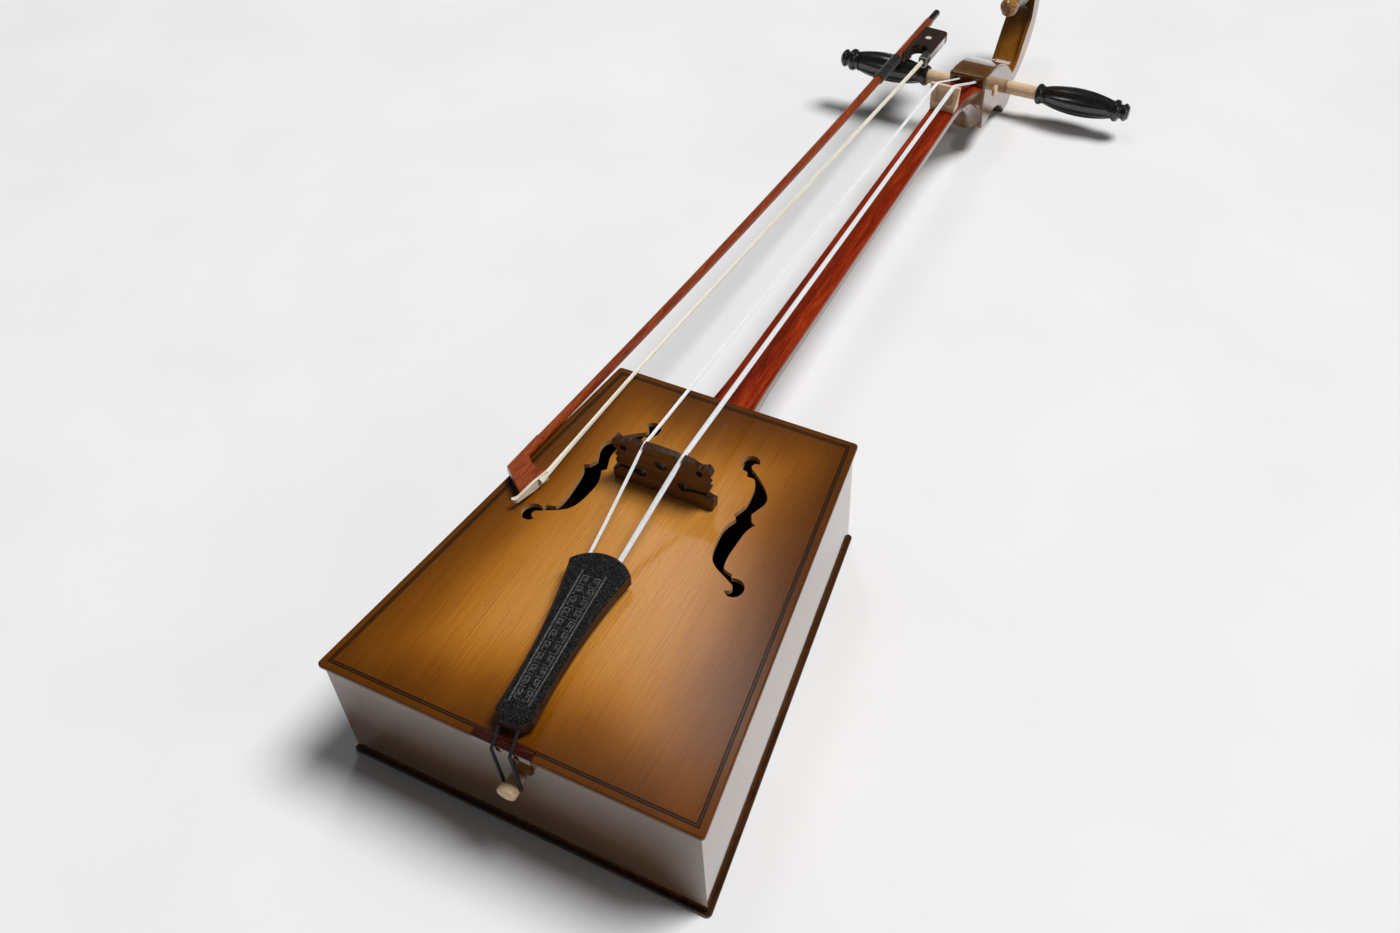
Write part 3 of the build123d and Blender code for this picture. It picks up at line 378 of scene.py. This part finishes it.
def cord_material():
    """Black braid: two sets of diagonal ridges that cross."""
    shade = Shade("braided cord", Roughness=0.6, Sheen_Weight=0.03, Specular_IOR_Level=0.25)
    left = shade.wave(shade.scaled(1, 1, 1, (0.6, 0.3, 0.5)), 700, 0.5, 1, "DIAGONAL")
    right = shade.wave(shade.scaled(1, 1, 1, (-0.6, -0.3, -0.5)), 700, 0.5, 1, "DIAGONAL")
    weave = shade.math("MAXIMUM", left, right)
    shade.set(Base_Color=shade.ramp(weave, (0.2, (0.003, 0.003, 0.003)), (0.9, (0.022, 0.021, 0.021))))
    shade.relief((weave, 0.0002))
    return shade.material


def filament_material(name, dark, light, rough):
    """Bundled hair or nylon: every strand a slightly different tone."""
    shade = Shade(name, Roughness=rough, Sheen_Weight=0.2, Subsurface_Weight=0.12,
                  Subsurface_Radius=(0.002, 0.002, 0.002), Subsurface_Scale=1.0)
    tone = shade.noise(shade.scaled(1, 0.02, 1), 1600, 3, 0.6)
    shade.set(Base_Color=shade.ramp(tone, (0.3, dark), (0.65, light)))
    shade.relief((tone, 0.00006))
    return shade.material


def leather_material():
    shade = Shade("black leather", Roughness=0.42, Specular_IOR_Level=0.45, Sheen_Weight=0.1)
    creases = shade.cells(shade.place, 1400, "SMOOTH_F1")
    folds = shade.noise(shade.place, 220, 4, 0.6)
    shade.set(Base_Color=shade.ramp(folds, (0.3, (0.006, 0.005, 0.005)), (0.75, (0.030, 0.026, 0.024))))
    shade.relief((creases, 0.00016), (folds, 0.00035))
    return shade.material


def metal_material(name, colour, rough):
    """Worn metal with fine scratches along X, duller in patches."""
    shade = Shade(name, Metallic=1.0)
    marks = shade.noise(shade.scaled(1, 6, 6), 900, 4, 0.7)
    patina = shade.noise(shade.place, 160, 4, 0.6)
    dull = darker(colour)
    shade.set(Base_Color=shade.mix(shade.smooth(patina, 0.35, 0.65), dull, colour),
              Roughness=shade.smooth(marks, 0.3, 0.7, rough, rough + 0.18))
    shade.relief((marks, 0.00002))
    return shade.material


def bone_material():
    shade = Shade("bone", Coat_Weight=0.3, Coat_Roughness=0.2, Subsurface_Weight=0.15,
                  Subsurface_Radius=(0.003, 0.002, 0.001), Subsurface_Scale=0.5)
    growth = shade.noise(shade.scaled(1, 0.1, 1), 350, 4, 0.6)
    shade.set(Base_Color=shade.ramp(growth, (0.3, (0.60, 0.52, 0.40)), (0.7, (0.82, 0.77, 0.67))),
              Roughness=shade.smooth(growth, 0.3, 0.7, 0.28, 0.42))
    shade.relief((growth, 0.00004))
    return shade.material


def pearl_material():
    shade = Shade("pearl", Coat_Weight=1.0, Coat_Roughness=0.05, Roughness=0.3, Metallic=0.25)
    swirl = shade.noise(shade.place, 380, 4, 0.6, 1.5)
    colour = shade.ramp(swirl, (0.3, (0.55, 0.68, 0.66)), (0.5, (0.86, 0.84, 0.80)),
                        (0.7, (0.78, 0.66, 0.74)))
    shade.set(Base_Color=colour)
    shade.relief((swirl, 0.00003))
    return shade.material


def inlay_material():
    shade = Shade("black inlay", Coat_Weight=0.15, Coat_Roughness=0.26, Roughness=0.5, Specular_IOR_Level=0.2)
    breaks = shade.noise(shade.place, 420, 3, 0.6)
    shade.set(Base_Color=shade.ramp(breaks, (0.35, (0.002, 0.001, 0.001)), (0.75, (0.014, 0.006, 0.002))))
    shade.relief((breaks, 0.00006))
    return shade.material


def eye_material():
    shade = Shade("eye", Coat_Weight=1.0, Coat_Roughness=0.02, Roughness=0.2)
    ring = shade.noise(shade.place, 900, 3, 0.5)
    shade.set(Base_Color=shade.ramp(ring, (0.3, (0.003, 0.003, 0.003)), (0.8, (0.02, 0.012, 0.008))))
    shade.relief((ring, 0.00001))
    return shade.material


def carved_head_material():
    """Golden-brown lacquer, with painted shade that makes it darker where the carving is deep."""
    shade = Shade("carved head", Coat_Weight=0.8, Coat_Roughness=0.1)
    fibre = shade.noise(grain_vector(shade, "Z", 10), 420, 4, 0.6)
    hollow = shade.node("NewGeometry").outputs["Pointiness"]
    lacquer = shade.ramp(fibre, (0.3, (0.20, 0.075, 0.016)), (0.55, (0.34, 0.145, 0.036)),
                         (0.75, (0.46, 0.22, 0.065)))
    # Painted shade: dark brown wherever the mesh's pointiness marks a hollow of the carving.
    colour = shade.mix(shade.smooth(hollow, 0.44, 0.51), (0.035, 0.013, 0.004), lacquer)
    shade.set(Base_Color=colour, Roughness=shade.smooth(fibre, 0.3, 0.7, 0.25, 0.4))
    shade.relief((fibre, 0.00006))
    return shade.material


def mane_material():
    shade = Shade("silvered mane", Coat_Weight=0.3, Coat_Roughness=0.25, Metallic=0.35)
    strand = shade.noise(shade.scaled(1, 1, 0.15), 900, 4, 0.6)
    colour = shade.ramp(strand, (0.3, (0.10, 0.095, 0.09)), (0.6, (0.34, 0.34, 0.34)),
                        (0.8, (0.58, 0.58, 0.57)))
    shade.set(Base_Color=colour, Roughness=shade.smooth(strand, 0.3, 0.7, 0.3, 0.5))
    shade.relief((strand, 0.00012))
    return shade.material


def floor_material():
    shade = Shade("studio floor", Specular_IOR_Level=0.2)
    dust = shade.noise(shade.place, 6, 3, 0.5)
    shade.set(Base_Color=shade.ramp(dust, (0.3, (0.80, 0.80, 0.80)), (0.7, (0.83, 0.83, 0.83))),
              Roughness=shade.smooth(dust, 0.3, 0.7, 0.5, 0.6))
    return shade.material


MATERIALS = {
    "soundboard_lacquer": soundboard_material(),
    "lacquered_back": back_lacquer_material(),
    "lacquered_ribs": rib_lacquer_material("rib lacquer", "X"),
    "lacquered_neck": neck_lacquer_material(),
    "black_inlay": inlay_material(),
    "bare_spruce": bare_spruce_material(),
    "pale_maple": maple_material(),
    "red_rosewood": saddle_material(),
    "padauk": fingerboard_material(),
    "brown_maple": bridge_material(),
    "ebony": frog_material(),
    "ebony_gloss": turned_ebony_material(),
    "carving": carving_material(),
    "black_cord": cord_material(),
    "white_filament": filament_material("string filaments", (0.80, 0.81, 0.83), (0.95, 0.96, 0.98), 0.38),
    "horsehair": filament_material("bow hair", (0.86, 0.76, 0.57), (0.98, 0.94, 0.84), 0.42),
    "carved_head": carved_head_material(),
    "eye_gloss": eye_material(),
    "silvered_mane": mane_material(),
    "brass_wire": metal_material("worn brass", (0.62, 0.44, 0.20), 0.22),
    "bow_wood": bow_wood_material(),
    "bone": bone_material(),
    "black_leather": leather_material(),
    "nickel_silver": metal_material("nickel silver", (0.70, 0.69, 0.66), 0.18),
    "pearl": pearl_material(),
    "steel": metal_material("screw steel", (0.60, 0.61, 0.63), 0.25),
}


def dress(node, material):
    """Give every face of a node one material."""
    piece = nodes[node]
    if not piece.material_slots:
        piece.data.materials.append(None)
    for slot in piece.material_slots:
        slot.material = material


for entry in frame["record"]["subparts"]:
    dress(entry["node"], MATERIALS[entry["material_slot"]])
dress("tailpiece", tailpiece_material())
side_rib_lacquer = rib_lacquer_material("side rib lacquer", "Y")
dress("rib_left", side_rib_lacquer)
dress("rib_right", side_rib_lacquer)


# ---------------------------------------------------------------- strings and hair
def section_at(node, y):
    """The middle of a node's section at one Y, and its reach in every direction round it."""
    mesh = nodes[node].data
    points = np.array([vertex.co for vertex in mesh.vertices])
    edges = np.array([edge.vertices for edge in mesh.edges])
    start, end = points[edges[:, 0]], points[edges[:, 1]]
    below, above = start[:, 1] - y, end[:, 1] - y
    cut = below * above < 0
    share = (below[cut] / (below[cut] - above[cut]))[:, None]
    crossings = (start[cut] + share * (end[cut] - start[cut]))[:, [0, 2]]
    middle = (crossings.min(0) + crossings.max(0)) / 2
    offset = crossings - middle
    angle = np.arctan2(offset[:, 1], offset[:, 0])
    order = np.argsort(angle)
    return middle, angle[order], np.hypot(offset[:, 0], offset[:, 1])[order]


def mesh_piece(name, data, material, body):
    """A smooth mesh that rides on a body and takes its finish from a slot of the record."""
    data.materials.clear()
    data.materials.append(MATERIALS[material])
    for polygon in data.polygons:
        polygon.use_smooth = True
    piece = bpy.data.objects.new(name, data)
    bpy.context.collection.objects.link(piece)
    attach(piece, body)
    return piece


def tubes(name, lines, thickness, material, body, resolution):
    """Round threads along lines of points, as one mesh.

    Each line comes with its share of the thickness at every point, or None where it is even all along.
    """
    curve = bpy.data.curves.new(name, "CURVE")
    curve.dimensions = "3D"
    curve.bevel_depth = thickness / 2
    curve.bevel_resolution = resolution
    curve.use_fill_caps = True
    for points, radii in lines:
        spline = curve.splines.new("POLY")
        spline.points.add(len(points) - 1)
        for point, place, radius in zip(spline.points, points, radii or [1.0] * len(points)):
            point.co = (*place, 1)
            point.radius = radius
    drawn = bpy.data.objects.new(name + "_drawn", curve)
    bpy.context.collection.objects.link(drawn)
    evaluated = drawn.evaluated_get(bpy.context.evaluated_depsgraph_get())
    data = bpy.data.meshes.new_from_object(evaluated)
    bpy.data.objects.remove(drawn)
    return mesh_piece(name, data, material, body)


def filaments(node, body, slot, stations, count, thickness, flatten=None, twist=0.0):
    """A bundle of fine strands that fills a node's section from end to end.

    flatten gives, at one Y, how much wider and lower the bundle is than the node; its underside stays where
    it is. twist is the turn of every strand from one station to the next.
    """
    sections = [section_at(node, y) for y in stations]
    lines = []
    for _ in range(count):
        angle = random.uniform(-math.pi, math.pi)
        share = math.sqrt(random.random())
        points = []
        for y, (middle, angles, reach) in zip(stations, sections):
            radius = share * (np.interp(angle, angles, reach, period=FULL_TURN) - thickness / 2)
            wide, high = flatten(y) if flatten else (1, 1)
            lowest = middle[1] - np.interp(-math.pi / 2, angles, reach, period=FULL_TURN)
            x = middle[0] + wide * radius * math.cos(angle)
            z = lowest + high * (middle[1] + radius * math.sin(angle) - lowest)
            points.append((x, y, z))
            angle += twist
        lines.append((points, None))
    strands = tubes(node + "_filaments", lines, thickness, slot, body, 0)
    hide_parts(node)


BRIDGE_AT = 0.064
UPPER_BRIDGE_AT = 0.6305
PEGBOX_HOLE_AT = 0.704
GATHER_REACH = 0.006  # how far a slot or a hole draws the strands together
STRING_STRANDS = {"thin_string": 46, "thick_string": 70}
STRING_STRAND = 0.00042
STRING_STATIONS = 26
STRING_TWIST = 0.02  # from one station to the next, in radians
HAIR_STRANDS = 150
HAIR_STRAND = 0.00045
HAIR_STATIONS = 16


def string_flatten(y):
    """Strings lie as ribbons, and are gathered where they pass a bridge slot or a hole of the pegbox."""
    gathered = min(abs(y - BRIDGE_AT), abs(y - PEGBOX_HOLE_AT)) < GATHER_REACH
    return (1.05, 0.9) if gathered else (1.32, 0.7)


def build_strings():
    over_bridge = [BRIDGE_AT + offset for offset in (-0.012, -0.0055, 0, 0.0055, 0.012)]
    in_pegbox = [PEGBOX_HOLE_AT - 0.005, PEGBOX_HOLE_AT + 0.005]
    for node, count in STRING_STRANDS.items():
        low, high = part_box(node)
        spread = np.linspace(low.y + 0.0004, high.y - 0.0008, STRING_STATIONS)
        stations = sorted([*spread, *over_bridge, UPPER_BRIDGE_AT, *in_pegbox])
        filaments(node, "fiddle", "white_filament", stations, count, STRING_STRAND, string_flatten,
                  STRING_TWIST)


def build_bow_hair():
    low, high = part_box("bow_hair")
    stations = np.linspace(low.y + 0.002, high.y - 0.0006, HAIR_STATIONS)
    filaments("bow_hair", "bow", "horsehair", stations, HAIR_STRANDS, HAIR_STRAND)


build_strings()
build_bow_hair()


# ---------------------------------------------------------------- horse's head
# Stations of the head from the muzzle to the nape, in mm: top and low edge of the profile and half width.
HEAD_Y = (820.6, 821.6, 823.5, 827, 832, 838, 844, 852, 862, 874, 888, 899, 905, 907)
HEAD_TOP = (99.5, 102.5, 105.0, 106.8, 107.2, 108.4, 111.2, 116.8, 121.6, 124.4, 125.6, 121.5, 114, 108)
HEAD_LOW = (95.5, 92.2, 89.4, 88.0, 88.0, 88.8, 88.8, 86.6, 83.6, 81.6, 81.0, 80.5, 81.5, 84)
HEAD_HALF = (2.2, 5.4, 7.8, 9.0, 8.6, 8.0, 8.8, 10.8, 12.4, 12.4, 12.0, 10.8, 8.0, 4.5)
RING_POINTS = 72
SQUARENESS = 0.88  # 1 would give elliptic sections

# Broad swellings of the skull: height in mm, place in the side profile and radius.
SWELLINGS = (
    (1.5, (862, 94), 8.5),  # jaw
    (-0.9, (850.5, 95), 3.2),  # hollow in front of the jaw
    (1.2, (846, 108.2), 3.4),  # brow
    (0.7, (826, 101), 3.2),  # wing of the nostril
)
EYE_AT = (844, 104)
NOSTRIL_AT = (823.6, 101.2)
MOUTH_CORNER_Y = 839


def surface_mesh(name, rings, slot):
    """A smooth closed skin through rings of equal length, with its ends closed."""
    mesh = bmesh.new()
    loops = [[mesh.verts.new(place) for place in ring] for ring in rings]
    count = len(loops[0])
    for loop, following in zip(loops, loops[1:]):
        for index in range(count):
            after = (index + 1) % count
            mesh.faces.new((loop[index], loop[after], following[after], following[index]))
    mesh.faces.new(list(reversed(loops[0])))
    mesh.faces.new(loops[-1])
    bmesh.ops.recalc_face_normals(mesh, faces=mesh.faces)
    data = bpy.data.meshes.new(name)
    mesh.to_mesh(data)
    mesh.free()
    return mesh_piece(name, data, slot, "fiddle")


def bell(distance, width):
    """1 at no distance, falling smoothly to almost 0 at twice the width."""
    return math.exp(-(distance / width) ** 2)


def swell(place, centre, radius):
    """A round bell at a point of the side profile."""
    return bell(math.dist(place, centre), radius)


def head_relief(y, z, across):
    """How far the carving stands out from the plain skull, in mm. across is 0 on the middle line."""
    out = sum(height * swell((y, z), place, radius) for height, place, radius in SWELLINGS)
    from_eye = math.hypot(y - EYE_AT[0], z - EYE_AT[1])
    lid = 0.9 * bell(from_eye - 3.1, 0.8)
    socket = 1.4 * bell(from_eye, 2.3)
    nostril = 2.4 * bell(y - NOSTRIL_AT[0], 1.7) * bell(z - NOSTRIL_AT[1], 1.3)
    out += lid - socket - nostril
    if 828 < y < 842:
        cheek_line = 99 + 0.28 * (y - 830)
        out += 0.35 * bell(z - cheek_line, 0.9)
    out *= across
    if y < MOUTH_CORNER_Y:
        above_mouth = z - (93.4 + 0.10 * (y - 821))
        to_corner = MOUTH_CORNER_Y - y
        out -= 1.1 * bell(above_mouth, 0.55) * min(1.0, to_corner / 4)
        out += 0.5 * bell(above_mouth + 2.2, 1.3) * min(1.0, to_corner / 6)
    return out


def head_ring(y):
    """The carved section of the head at one station, on the common frame in metres."""
    top, low = np.interp(y, HEAD_Y, HEAD_TOP), np.interp(y, HEAD_Y, HEAD_LOW)
    half = np.interp(y, HEAD_Y, HEAD_HALF)
    middle, high = (top + low) / 2, (top - low) / 2
    ring = []
    for index in range(RING_POINTS):
        angle = FULL_TURN * index / RING_POINTS
        cosine, sine = math.cos(angle), math.sin(angle)
        x = math.copysign(abs(cosine) ** SQUARENESS, cosine)
        up = math.copysign(abs(sine) ** SQUARENESS, sine)
        jaw = 1 - 0.22 * max(0.0, -up)
        relief = head_relief(y, middle + high * up, abs(cosine))
        x = (half * jaw + relief) * x
        z = middle + (high + 0.3 * relief) * up
        ring.append(Vector((NECK_X + x / 1000, y / 1000, z / 1000)))
    return ring


def build_head():
    """The skull, with its stations closest on the muzzle, and the ears."""
    stations = [*np.linspace(HEAD_Y[0], 850, 84), *np.linspace(851, HEAD_Y[-1], 46)]
    head = surface_mesh("carved_horse_head", [head_ring(y) for y in stations], "carved_head")
    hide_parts("horse_head")
    for side in (-1, 1):
        build_ear(side)


EAR_HALF_WIDTH = 4.2
EAR_HEIGHT = 15.5
EAR_RINGS = 15
EAR_POINTS = 20


def build_ear(side):
    """A leaf-shaped ear, hollow in front, leaning outwards."""
    rings = []
    for share in np.linspace(0, 1, EAR_RINGS):
        width = EAR_HALF_WIDTH * math.sin(math.pi * (0.20 + 0.78 * share)) ** 0.8
        middle = Vector((side * (6.2 + 3.4 * share), 868 - 3.0 * share * share, 119.5 + EAR_HEIGHT * share))
        ring = []
        for index in range(EAR_POINTS):
            angle = FULL_TURN * index / EAR_POINTS
            front = max(0.0, -math.sin(angle))
            depth = width * (0.62 - 0.75 * front * front)
            place = (middle + Vector((width * math.cos(angle), depth * math.sin(angle), 0))) / 1000
            ring.append(Vector((place.x + NECK_X, place.y, place.z)))
        rings.append(ring)
    surface_mesh("horse_ear_left" if side < 0 else "horse_ear_right", rings, "carved_head")


# Middle line of the mane, from the forehead over the poll and down the back of the neck, in mm.
CREST_Y = (858, 874, 890, 902, 910, 913, 909, 899, 886)
CREST_Z = (124, 128.5, 128, 121, 106, 86, 60, 42, 27)
CREST_CENTRE = (868, 84)  # the locks lift away from here
LOCK_THICKNESS = 0.0042
LOCKS_IN_ROW = 17
LOCK_PITCH = 0.052  # both as shares of the crest
LOCK_LENGTH = 0.16


def crest_at(share):
    stations = np.linspace(0, 1, len(CREST_Y))
    return np.interp(share, stations, CREST_Y), np.interp(share, stations, CREST_Z)


def build_mane():
    """Rows of tapering locks that spring from the crest and sweep down each side of it."""
    locks = []
    for row, (sideways, start) in enumerate(((-2.6, 0.02), (2.6, 0.02), (-0.9, 0.0), (0.9, 0.0))):
        for step in range(LOCKS_IN_ROW):
            first = start + step * LOCK_PITCH + 0.013 * (row % 2)
            points, radii = [], []
            for share in np.linspace(0, 1, 9):
                y, z = crest_at(min(1.0, first + LOCK_LENGTH * share))
                lift = 2.4 * math.sin(math.pi * min(1.0, share * 1.15)) - 1.6
                wave = 0.9 * math.sin(FULL_TURN * share + step)
                outward = math.atan2(z - CREST_CENTRE[1], y - CREST_CENTRE[0])
                y, z = y + lift * math.cos(outward), z + lift * math.sin(outward)
                x = NECK_X * 1000 + sideways * (1 + 0.5 * share) + wave
                points.append((x / 1000, y / 1000, z / 1000))
                radii.append(0.25 + 0.75 * math.sin(math.pi * (0.12 + 0.83 * share)))
            locks.append((points, radii))
    mane = tubes("mane_locks", locks, LOCK_THICKNESS, "silvered_mane", "fiddle", 3)
    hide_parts("mane")


NOSEBAND_Y = 833.5
THROAT_Y = 857.5
BAND_THICKNESS = 0.0017
# Straps along each cheek: first and last station, and the ring points above the middle at those two.
STRAPS = ((NOSEBAND_Y, 866, 3, 8), (NOSEBAND_Y, 872, -4, -9), (THROAT_Y, 884, -10, 2))


def build_bridle():
    """Grey carved bands round the muzzle, down the cheek and under the throat."""
    bands = []
    for station, tilt in ((NOSEBAND_Y, 0.06), (THROAT_Y, -0.14)):
        ring = head_ring(station + tilt * 10)
        loop = [(place.x, place.y + tilt * (place.z - 0.1), place.z) for place in (*ring, ring[0])]
        bands.append((loop, None))
    for middle, turn in ((0, 1), (RING_POINTS // 2, -1)):
        for first, last, start, end in STRAPS:
            points = []
            for share in np.linspace(0, 1, 14):
                ring = head_ring(first + (last - first) * share)
                index = int(middle + turn * (start + (end - start) * share)) % RING_POINTS
                points.append(tuple(ring[index]))
            bands.append((points, None))
    tubes("bridle_bands", bands, BAND_THICKNESS, "silvered_mane", "fiddle", 2)


build_head()
build_mane()
build_bridle()


# ---------------------------------------------------------------- tailpiece carving
TAILPIECE_FOOT = Vector((0.0035, -0.153, 0))
TAILPIECE_LEAN = math.radians(4.6)
FRET_LINE = 0.0017
FRETS = 11
FRET_PITCH = 9.3  # this and the next three in mm
FRET_HEIGHT = 7.4
FRET_WIDTH = 3.9
FRET_WIDENING = 0.13  # from one fret to the next
FRET = ((0, 0), (1, 0), (1, 1), (0.3, 1), (0.3, 0.42), (0.66, 0.42), (0.66, 0.7))


def on_tailpiece(across, along, z):
    """A point of the tailpiece's own plan, in mm, placed on the common frame."""
    cosine, sine = math.cos(TAILPIECE_LEAN), math.sin(TAILPIECE_LEAN)
    x = across * cosine - along * sine
    y = across * sine + along * cosine
    return (TAILPIECE_FOOT.x + x / 1000, TAILPIECE_FOOT.y + y / 1000, z)


def build_fretwork():
    """Raised key pattern in two mirrored columns, between two border lines."""
    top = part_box("tailpiece")[1].z
    frets = []
    for step in range(FRETS):
        width = FRET_WIDTH + FRET_WIDENING * step
        for side in (-1, 1):
            points = []
            for u, v in FRET:
                across = side * (0.9 + width * u)
                along = 16 + FRET_PITCH * step + FRET_HEIGHT * v
                points.append(on_tailpiece(across, along, top))
            frets.append((points, None))
    for side in (-1, 1):
        border = [on_tailpiece(side * (6.6 + 0.016 * along), along, top) for along in (13, 60, 120)]
        frets.append((border, None))
    tubes("tailpiece_fretwork", frets, FRET_LINE, "carving", "fiddle", 0)


build_fretwork()


# ---------------------------------------------------------------- stage, light and camera
def area_light(name, place, aim, size, watts):
    light = bpy.data.lights.new(name, "AREA")
    light.shape = "RECTANGLE"
    light.size, light.size_y = size
    light.energy = watts
    lamp = bpy.data.objects.new(name, light)
    lamp.location = place
    lamp.rotation_euler = (Vector(aim) - Vector(place)).to_track_quat("-Z", "Y").to_euler()
    bpy.context.collection.objects.link(lamp)


def build_floor():
    bpy.ops.mesh.primitive_plane_add(size=30, location=(0, 0.4, 0))
    floor = bpy.context.object
    floor.name = "floor"
    floor.data.materials.append(floor_material())


def light_stage():
    """A broad key from the back right, two softboxes for the lacquer's highlights and a faint fill."""
    sun = bpy.data.lights.new("broad key", "SUN")
    sun.energy = 3.2
    sun.angle = math.radians(24)
    key = bpy.data.objects.new("broad key", sun)
    key.rotation_euler = Vector((-0.52, -0.42, -1.25)).to_track_quat("-Z", "Y").to_euler()
    key.visible_glossy = False
    bpy.context.collection.objects.link(key)
    area_light("right softbox", (2.4, 0.3, 1.4), (0.0, 0.1, 0.0), (1.0, 1.4), 9)
    area_light("back softbox", (-0.52, 0.96, 1.75), (0.06, -0.02, 0.1), (0.22, 0.5), 2.6)
    world = bpy.data.worlds.new("studio")
    world.use_nodes = True
    background = world.node_tree.nodes["Background"]
    background.inputs["Color"].default_value = (1, 1, 1, 1)
    background.inputs["Strength"].default_value = 0.07
    bpy.context.scene.world = world
    bpy.context.scene.view_settings.view_transform = "Standard"


def build_camera():
    """The photograph's viewing angle."""
    data = bpy.data.cameras.new("camera")
    data.sensor_width = 36
    data.lens = 33.9
    data.dof.use_dof = False
    camera = bpy.data.objects.new("camera", data)
    camera.location = (0.3268, -0.4668, 0.7994)
    camera.rotation_euler = (0.7498, 0.0428, 0.4743)
    bpy.context.collection.objects.link(camera)
    bpy.context.scene.camera = camera


build_floor()
light_stage()
build_camera()
